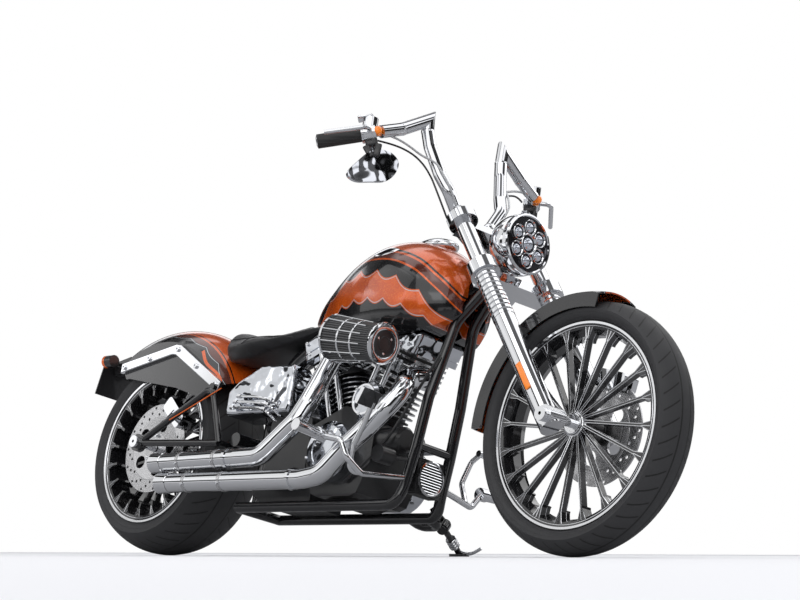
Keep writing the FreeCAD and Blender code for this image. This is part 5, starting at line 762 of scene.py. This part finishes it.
def front_fender_colours(tree):
    radius, turn, aside = round_place(tree, FRONT_WHEEL)
    beside = calc(tree, "ABSOLUTE", aside)
    crown = wavy(tree, 0.058, turn, 0.012, 0.22)
    colour = blend(tree, above(tree, beside, crown), flake_orange(tree), PAINT_BLACK)
    colour = blend(tree, near(tree, beside, 0.03, 0.0018), colour, PAINT_BLACK)
    return blend(tree, near(tree, beside, calc(tree, "ADD", crown, 0.004), 0.0012), colour, PIN_GREY)


for name, node, colours in (("tank_paint", "fuel_tank", tank_colours),
                            ("rear_fender_paint", "rear_fender", rear_fender_colours),
                            ("front_fender_paint", "front_fender", front_fender_colours)):
    paint, tree, shader = new_material(name, (0.6, 0.1, 0.01), 0.2, 0.35, 1.0)
    tree.links.new(colours(tree), shader.inputs["Base Color"])
    vary_gloss(tree, shader, 0.22, 0.2, 14.0)
    dress(paint, node)


# Tank fittings. A chrome console with the fuel cap stands on the tank's top, and a blank tapered
# chrome badge is fixed to each side.
RAY_START = 400
BADGE_PROUD = 0.0022
BADGE_RINGS = 5


def on_surface(node, spot, way, sink=0.0):
    """A matrix where a node is first met from a spot along a way, its Z axis outward."""
    target = frame["nodes"][node]
    turn = target.matrix_world.inverted()
    start, end = turn @ spot, turn @ (spot + way)
    hit, place, normal, _ = target.ray_cast(start, (end - start).normalized())
    if not hit:
        return None
    normal = (target.matrix_world.to_3x3() @ normal).normalized()
    return aim(target.matrix_world @ place - normal * sink, normal)


def badge(name, outline, side):
    """A thin plate laid on the tank's side: its outline, in millimetres, is drawn on the surface."""
    count = len(outline)
    middle = [sum(point[i] for point in outline) / count for i in (0, 1)]
    verts, faces = [], []
    for ring in range(BADGE_RINGS):
        share = (ring + 1) / BADGE_RINGS
        rise = BADGE_PROUD if ring < BADGE_RINGS - 1 else -0.0005
        for point in outline:
            x, z = [mid + (value - mid) * share for mid, value in zip(middle, point)]
            spot = bike(x, side * RAY_START, z)
            verts.append(on_surface("fuel_tank", spot, left * -side, -rise).to_translation())
    start = bike(middle[0], side * RAY_START, middle[1])
    verts.append(on_surface("fuel_tank", start, left * -side, -BADGE_PROUD).to_translation())
    for ring in range(BADGE_RINGS - 1):
        for i in range(count):
            a, b = ring * count + i, ring * count + (i + 1) % count
            faces.append((a, b, b + count, a + count))
    faces += [(len(verts) - 1, i, (i + 1) % count) for i in range(count)]
    mesh = bpy.data.meshes.new(name)
    mesh.from_pydata(verts, [], faces)
    piece = bpy.data.objects.new(name, mesh)
    bpy.context.collection.objects.link(piece)
    recalculate_normals(piece)
    return plated(piece, name)


dress(chrome, "tank_console")
BADGE = [(0, 0), (26, 13), (58, 19), (92, 16), (122, 6), (130, 0), (118, -8), (90, -15), (58, -17),
         (26, -11)]
for name, side in (("right_badge", -1), ("left_badge", 1)):
    badge(name, [(880 + x * 0.99 - z * 0.15, 884 + z + x * 0.02) for x, z in BADGE], side)


# Seat. One padded black leather seat on a steel pan: a dished rider part rises to a small hump
# behind, with a cross seam between them and a piped seam along each side.
SEAT_SINK = 0.004
SEAT_CAP = 0.007
PIPING_PROUD = 0.0006
leather, tree, shader = new_material("seat_leather_hide", (0.016, 0.016, 0.017), 0.36)
place = vary_gloss(tree, shader, 0.4, 0.25, 14.0)
pores = tree_node(tree, "TexVoronoi", Vector=place, Scale=420.0).outputs["Distance"]
creases = noise(tree, place, 26.0, 6.0)
hide = calc(tree, "MULTIPLY_ADD", creases, 1.6, calc(tree, "MULTIPLY", pores, 0.7))
emboss(tree, shader, hide, 0.32, 0.0012)
dress(leather, "seat")
seat_node = frame["nodes"]["seat"]
pad = bpy.data.objects.new("seat_pad", seat_node.data.copy())
bpy.context.collection.objects.link(pad)
pad.data.transform(seat_node.matrix_world)
select_only(pad)
remesh = pad.modifiers.new("remesh", "REMESH")
remesh.mode = "VOXEL"
remesh.voxel_size = 0.006
bpy.ops.object.modifier_apply(modifier="remesh")
bpy.ops.object.shade_smooth()
for vertex in pad.data.vertices:
    vertex.co -= vertex.normal * SEAT_SINK
started = [vertex.co.copy() for vertex in pad.data.vertices]
cloth = pad.modifiers.new("cloth", "CLOTH")
cloth.settings.use_pressure = True
cloth.settings.uniform_pressure_force = 4
cloth.settings.effector_weights.gravity = 0
cloth.settings.quality = 4
for tick in range(1, 21):
    bpy.context.scene.frame_set(tick)
blown = pad.evaluated_get(bpy.context.evaluated_depsgraph_get())
moved = [vertex.co.copy() for vertex in blown.data.vertices]
pad.modifiers.remove(cloth)
bpy.context.scene.frame_set(1)
for vertex, first, last in zip(pad.data.vertices, started, moved):
    step = last - first
    vertex.co = first + step * min(1.0, SEAT_CAP / max(step.length, 1e-6))
smoothing = pad.modifiers.new("smoothing", "SMOOTH")
smoothing.iterations = 3
bpy.ops.object.modifier_apply(modifier="smoothing")
finish_piece(pad, "seat_pad", "frame", leather)
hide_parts("seat")


def seam_run(spots, way):
    """Points of the pad that are met first from spots along a way."""
    run = []
    for spot in spots:
        hit, place, normal, _ = pad.ray_cast(spot, way)
        if hit:
            run.append(place + normal * PIPING_PROUD)
    return run


piping = [seam_run([bike(392, y, 900) for y in range(-150, 151, 10)], -up)]
for side in (-1, 1):
    spots = [bike(150 + i * 24, side * RAY_START, 672 - i * 0.6) for i in range(20)]
    piping.append(seam_run(spots, left * -side))
piping = wires([run for run in piping if len(run) > 3], 0.0026, smooth=True)
finish_piece(piping, "seat_piping", "frame", leather)


# Engine. A big air-cooled V twin: black barrels and heads whose fin edges are machined bright,
# chrome rocker boxes, pushrod tubes and covers on a wrinkle-black crankcase and gearbox.
FIN_BLACK = ((0.014, 0.014, 0.015), 0.38, 0.0)
FIN_BRIGHT = ((0.8, 0.81, 0.82), 0.18, 1.0)
CRANK_X, CRANK_Z = 880, 258
CYLINDER_LEANS = (math.radians(-22.5), math.radians(22.5))
SIDE_COVER = (985, -RAY_START, 425)
CAM_COVER = (865, -RAY_START, 278)


def cylinder_place(tree):
    """Distance from the nearest cylinder axis, fore-and-aft distance from it, and distance aside."""
    radii, fores = [], []
    for lean in CYLINDER_LEANS:
        axes = Matrix.Translation(bike(CRANK_X, 0, CRANK_Z)) @ BIKE.to_3x3().to_4x4()
        x, y, z = local(tree, axes @ Matrix.Rotation(lean, 4, "Y"))
        radii.append(distance(tree, x, y))
        fores.append(calc(tree, "ABSOLUTE", x))
    return calc(tree, "MINIMUM", *radii), calc(tree, "MINIMUM", *fores), calc(tree, "ABSOLUTE", y)


def barrel_edges(tree):
    return above(tree, cylinder_place(tree)[0], 0.0742)


def head_edges(tree):
    radius, fore, aside = cylinder_place(tree)
    return calc(tree, "MAXIMUM", above(tree, aside, 0.0748), above(tree, fore, 0.0825))


dress(layered("barrel_finish", FIN_BLACK, FIN_BRIGHT, barrel_edges, grain=0.15), "cylinders")
dress(layered("head_finish", FIN_BLACK, FIN_BRIGHT, head_edges, grain=0.15), "cylinder_heads")
case_black, tree, shader = new_material("wrinkle_black", (0.016, 0.016, 0.017), 0.42, 0.0, 0.25)
place = vary_gloss(tree, shader, 0.42, 0.25, 20.0)
emboss(tree, shader, noise(tree, place, 520.0, 4.0), 0.45, 0.0008)
dress(case_black, "crankcase", "gearbox")
dress(chrome, "pushrod_tubes")
dress(polished_cover, "rocker_covers", "cam_cover", "side_cover", "primary_cover", "oil_tank")


def screws_on(name, node, spots, way, radius, height):
    """Screw heads where lines from spots along a way first meet a node."""
    places = [on_surface(node, spot, way, 0.0004) for spot in spots]
    return screws(name, [place for place in places if place is not None], radius, height)


def ring_of(x, y, z, radius, count):
    return [bike(x + dx, y, z + dz) for dx, dz in circle(count, radius, 0.3)]


def up_cylinder(lean, along, across=0):
    """The x and z of a point along a cylinder's axis from the crank, and across it."""
    return (CRANK_X + along * math.sin(lean) + across * math.cos(lean),
            CRANK_Z + along * math.cos(lean) - across * math.sin(lean))


primary_ring = ring_of(880, RAY_START, 258, 88, 8) + ring_of(620, RAY_START, 258, 74, 6)
rocker_spots = [up_cylinder(lean, along, across)
                for lean in CYLINDER_LEANS for across in (-66, 66) for along in (392, 425)]
screws_on("cam_cover_screws", "cam_cover", ring_of(*CAM_COVER, 76, 6), left, 0.0052, 0.005)
screws_on("side_cover_screws", "side_cover", ring_of(*SIDE_COVER, 44, 3), left, 0.0048, 0.004)
screws_on("primary_screws", "primary_cover", primary_ring, -left, 0.0055, 0.005)
screws_on("rocker_screws", "rocker_covers", [bike(x, -RAY_START, z) for x, z in rocker_spots], left,
          0.0058, 0.006)
turned("side_cover_ring", [(40, 0), (46, 0), (47.5, 1.2), (46, 2.4), (40, 2.4), (40, 0)], 64,
       [on_surface("side_cover", bike(*SIDE_COVER), left, 0.0005)])
turned("cam_cover_ring", [(52, 0), (57.5, 0), (59, 1.5), (57.5, 3), (52, 3), (52, 0)], 64,
       [on_surface("cam_cover", bike(*CAM_COVER), left, 0.0005)])
leads = []
for lean, fore in zip(CYLINDER_LEANS, (-1, 1)):
    x, z = up_cylinder(lean, 318)
    leads.append([bike(x, -74, z), bike(x + 4 * fore, -112, z - 8), bike(x - 10 * fore, -126, z + 40),
                  bike(x - 30 * fore, -112, z + 84), bike(880, -60, 660)])
finish_piece(wires(leads, 0.0036, smooth=True), "plug_leads", "frame", satin_black)


# Air cleaner. A tapered filter lies along the engine's right side: black pleated paper in a
# chrome cage of long bars, on a chrome base ring, closed by a round cap with a plain disc.
FILTER_TILT = math.radians(9)
FILTER_LENGTH = 0.19
# Painted shade for the pleats' valleys and painted light for their ridges.
PAINTED_VALLEY_SHADE = (0.003, 0.003, 0.003, 1)
PAINTED_RIDGE_LIGHT = (0.075, 0.075, 0.078, 1)
filter_way = (ahead * math.cos(FILTER_TILT) - up * math.sin(FILTER_TILT)).normalized()
FILTER = aim(bike(928, -232, 585), filter_way)
pleats, tree, shader = new_material("filter_pleats", (0.012, 0.012, 0.013), 0.55)
x, y, z = local(tree, FILTER)
fold = calc(tree, "ABSOLUTE", ripple(tree, calc(tree, "ARCTAN2", y, x), 26.0))
mesh_way = calc(tree, "ABSOLUTE", ripple(tree, z, 900.0))
emboss(tree, shader, calc(tree, "MULTIPLY_ADD", mesh_way, 0.12, fold), 1.0, 0.005)
# The pleats are painted darker in their valleys and lighter on their ridges: painted shade and painted light
# on folds that are only bump.
tree.links.new(blend(tree, fold, PAINTED_VALLEY_SHADE, PAINTED_RIDGE_LIGHT), shader.inputs["Base Color"])
vary_gloss(tree, shader, 0.5, 0.3, 200.0)
dress(pleats, "air_filter")
dress(chrome, "air_cleaner")
bar_ends = zip(circle(12, 0.0672, 0.13), circle(12, 0.0572, 0.13))
bars = [[FILTER @ Vector((*foot, 0.012)), FILTER @ Vector((*head, FILTER_LENGTH - 0.028))]
        for foot, head in bar_ends]
plated(wires(bars, 0.0022), "filter_cage_bars")
places = [FILTER @ Matrix.Translation((0, 0, along)) @ Matrix.Diagonal((grow, grow, 1, 1))
          for along, grow in ((0.072, 1.0), (0.125, 0.955))]
turned("filter_cage_hoops", [(60, -4), (63.2, -3.5), (64, 0), (63.2, 3.5), (60, 4), (60, -4)], 64, places)
cap = on_surface("air_filter", FILTER @ Vector((0, 0, 0.5)), -filter_way, 0.001)
turned("filter_cap_rim", [(40, 0), (59.5, 0), (61.2, 2), (60, 5.2), (54, 8.5), (44, 9.8), (40, 8),
       (40, 0)], 64, [cap])
turned("filter_cap_disc", [(0, 7.5), (20, 7.2), (21.5, 5.8), (36.5, 5.2), (38.5, 6.2), (40.2, 5),
       (40.2, 0), (0, 0)], 64, [cap], "frame", satin_black)
screws("filter_cap_screws", [cap @ Matrix.Translation((x, y, 0.0052)) for x, y in circle(3, 0.0285, 0.5)],
       0.0036, 0.003)


# Exhausts. Two chrome pipes with heat shields: one from each head, swept down the right side and back along
# it;
# worm clamps hold the shields and each pipe ends in a sleeved tip. A near-black disc closes each tip's
# mouth:
# soot, and painted shade for the open bore.
dress(chrome, "exhaust_front_pipe", "exhaust_rear_pipe")
# The near black of the tips' mouths: soot, and painted shade for the open bore.
soot_and_bore_shade = plain_finish("exhaust_soot_and_bore_shade", (0.01, 0.009, 0.009), 0.85, 0.0, 0.0, 0.85, 0.1, 200.0)
clamp_side = -left - up * 0.4
tips, clamps, clamp_screws = [], [], []
for tip, pipe_spot in (((214, -250, 230), (600, -246, 236)), ((262, -250, 166), (900, -247, 166))):
    end = bike(*tip)
    way = (end - bike(*pipe_spot)).normalized()
    tips.append(aim(end, way))
    for gap in (0.135, 0.3):
        clamps.append(aim(end - way * gap, way))
        clamp_screws.append(aim(end - way * gap + clamp_side.normalized() * 0.03, clamp_side))
turned("exhaust_tip_sleeves", [(29.6, -52), (31.2, -50), (31.6, -4), (32.2, 0), (30, 3.2), (26.2, 2),
       (25.8, -4), (29, -6), (29.6, -52)], 48, tips)
# A near-black disc in each tip's mouth: soot, and painted shade where the open bore would be dark.
turned("exhaust_bore_shade_discs", [(0, 0), (10, 0.4), (26.2, 0.8), (26.2, -2), (0, -2)], 40, tips, "frame",
       soot_and_bore_shade)
turned("shield_clamps", [(28.8, -6.5), (30.4, -6), (30.8, 0), (30.4, 6), (28.8, 6.5), (28.8, -6.5)], 48,
       clamps, "frame", disc_steel)
screws("shield_clamp_screws", clamp_screws, 0.0045, 0.005)


# Oil tank and lines. A polished tank fills the triangle under the seat; three chrome lines with
# elbows run along its side to the case.
lines = []
for index in range(3):
    x, z = 430 + index * 12, 418 + index * 17
    lines.append([bike(x - 6, -150, z + 14), bike(x, -170, z + 6), bike(x + 14, -174, z),
                  bike(x + 90, -174, z - 4), bike(x + 160, -172, z - 12 - index * 3),
                  bike(x + 182, -160, z - 30), bike(x + 190, -140, z - 44)])
plated(wires(lines, 0.0045, smooth=True), "oil_lines")
unions = [aim(line[at], line[end] - line[end - 1]) for at, end in ((2, 3), (4, 4)) for line in lines]
turned("oil_line_unions", [(0, -8), (6.2, -8), (7.8, -6.5), (7.8, 6.5), (6.2, 8), (0, 8)], 6, unions)
dress(satin_black, "oil_filter", "brake_master_cylinder")


# Oil cooler. A small black radiator core behind a round chrome grille, ahead of the crankcase;
# its slats lie across it.
SLAT_GAP = 0.0078
SLAT_REACH = 0.0455
SLAT_PROUD = 0.0045
fin_rows, tree, shader = new_material("cooler_core", (0.02, 0.02, 0.021), 0.4, 0.4)
rows = calc(tree, "ABSOLUTE", ripple(tree, local(tree, BIKE)[2], 700.0))
emboss(tree, shader, rows, 0.8, 0.003)
vary_gloss(tree, shader, 0.4, 0.3, 60.0)
dress(fin_rows, "oil_cooler")
grille = on_surface("oil_cooler", bike(1500, 0, 219), -ahead)
turned("cooler_grille_ring", [(44, 0), (50, 0), (51.5, 3), (50.5, 7.5), (47, 9), (44, 7), (44, 0)], 64,
       [grille])
slats = []
for row in range(-5, 6):
    half = math.sqrt(SLAT_REACH ** 2 - (row * SLAT_GAP) ** 2)
    middle = grille @ Vector((0, 0, SLAT_PROUD)) + up * (row * SLAT_GAP)
    slats.append([middle - left * half, middle + left * half])
plated(wires(slats, 0.0021), "cooler_grille_slats")


# Foot controls and side stand. Chrome levers and folding pegs stand forward on the downtubes; the
# stand is a black forged leg with a chrome loop at its foot and a chrome return spring.
COIL_STEPS = 90
COIL_RATE = 0.75
COIL_RADIUS = 0.015
dress(chrome, "left_foot_control", "right_foot_control")
dress(frame_paint, "side_stand")
loop = [bike(*spot) for spot in ((1036, 286, 74), (1062, 291, 66), (1092, 292, 68), (1122, 291, 84))]
plated(wires([loop], 0.0052, smooth=True, sides=4), "stand_foot_loop", "side_stand")
coil_start, coil_end = bike(1051, 230, 98), bike(1042, 262, 82)
coil_way = (coil_end - coil_start).normalized()
coil_side = coil_way.cross(ahead).normalized()
coil_front = coil_side.cross(coil_way)
coil = []
for i in range(COIL_STEPS + 1):
    ray = coil_front * math.cos(i * COIL_RATE) + coil_side * math.sin(i * COIL_RATE)
    coil.append(coil_start.lerp(coil_end, i / COIL_STEPS) + ray * COIL_RADIUS)
plated(wires([coil], 0.0016), "stand_spring", "side_stand")
clutch = [bike(*spot) for spot in ((1205, -78, 560), (1160, -92, 470), (1118, -104, 380), (1072, -112, 300),
                                   (1000, -116, 236), (930, -112, 190))]
finish_piece(wires([clutch], 0.0042, smooth=True), "clutch_cable", "frame", satin_black)


# Fender struts, brakes and plate. Forged chrome struts bolted to the frame carry the fender; the
# black plate arm holds two small amber indicators and a blank plate.
STRUT_BOLTS = [(312, 506), (200, 572), (92, 635), (-50, 613), (-176, 592)]
ARM_BLACK = ((0.012, 0.012, 0.013), 0.3, 0.0)
INDICATOR_AMBER = ((0.55, 0.1, 0.01), 0.15, 0.0)
dress(chrome, "fender_struts", "front_caliper", "rear_caliper")
for label, side in (("right", -1), ("left", 1)):
    spots = [bike(x, side * RAY_START, z) for x, z in STRUT_BOLTS]
    screws_on(label + "_strut_bolts", "fender_struts", spots, left * -side, 0.0085, 0.006)


def signal_lens(tree):
    """A mask of the indicators' lenses at the ends of the plate's arm."""
    x, y, z = local(tree, BIKE)
    along = calc(tree, "MULTIPLY", below(tree, x, -0.34), above(tree, x, -0.372))
    return calc(tree, "MULTIPLY", above(tree, calc(tree, "ABSOLUTE", y), 0.078), along)


dress(layered("plate_arm_finish", ARM_BLACK, INDICATOR_AMBER, signal_lens, 0.5), "plate_bracket")
plate_white = plain_finish("plate_white", (0.72, 0.72, 0.7), 0.35, 0.0, 0.0, 0.35, 0.2, 80.0)
low = on_surface("plate_bracket", bike(-900, 0, 560), ahead).to_translation()
middle = on_surface("plate_bracket", bike(-900, 0, 600), ahead)
rise = (middle.to_translation() - low).normalized()
turn = Matrix((left, rise, left.cross(rise))).transposed().to_4x4()
spot = middle @ Vector((0, 0, 0.0012)) - rise * 0.006
plate = rounded_block((0.17, 0.105, 0.0016), Matrix.Translation(spot) @ turn, 0.0006)
finish_piece(plate, "blank_plate", "frame", plate_white)
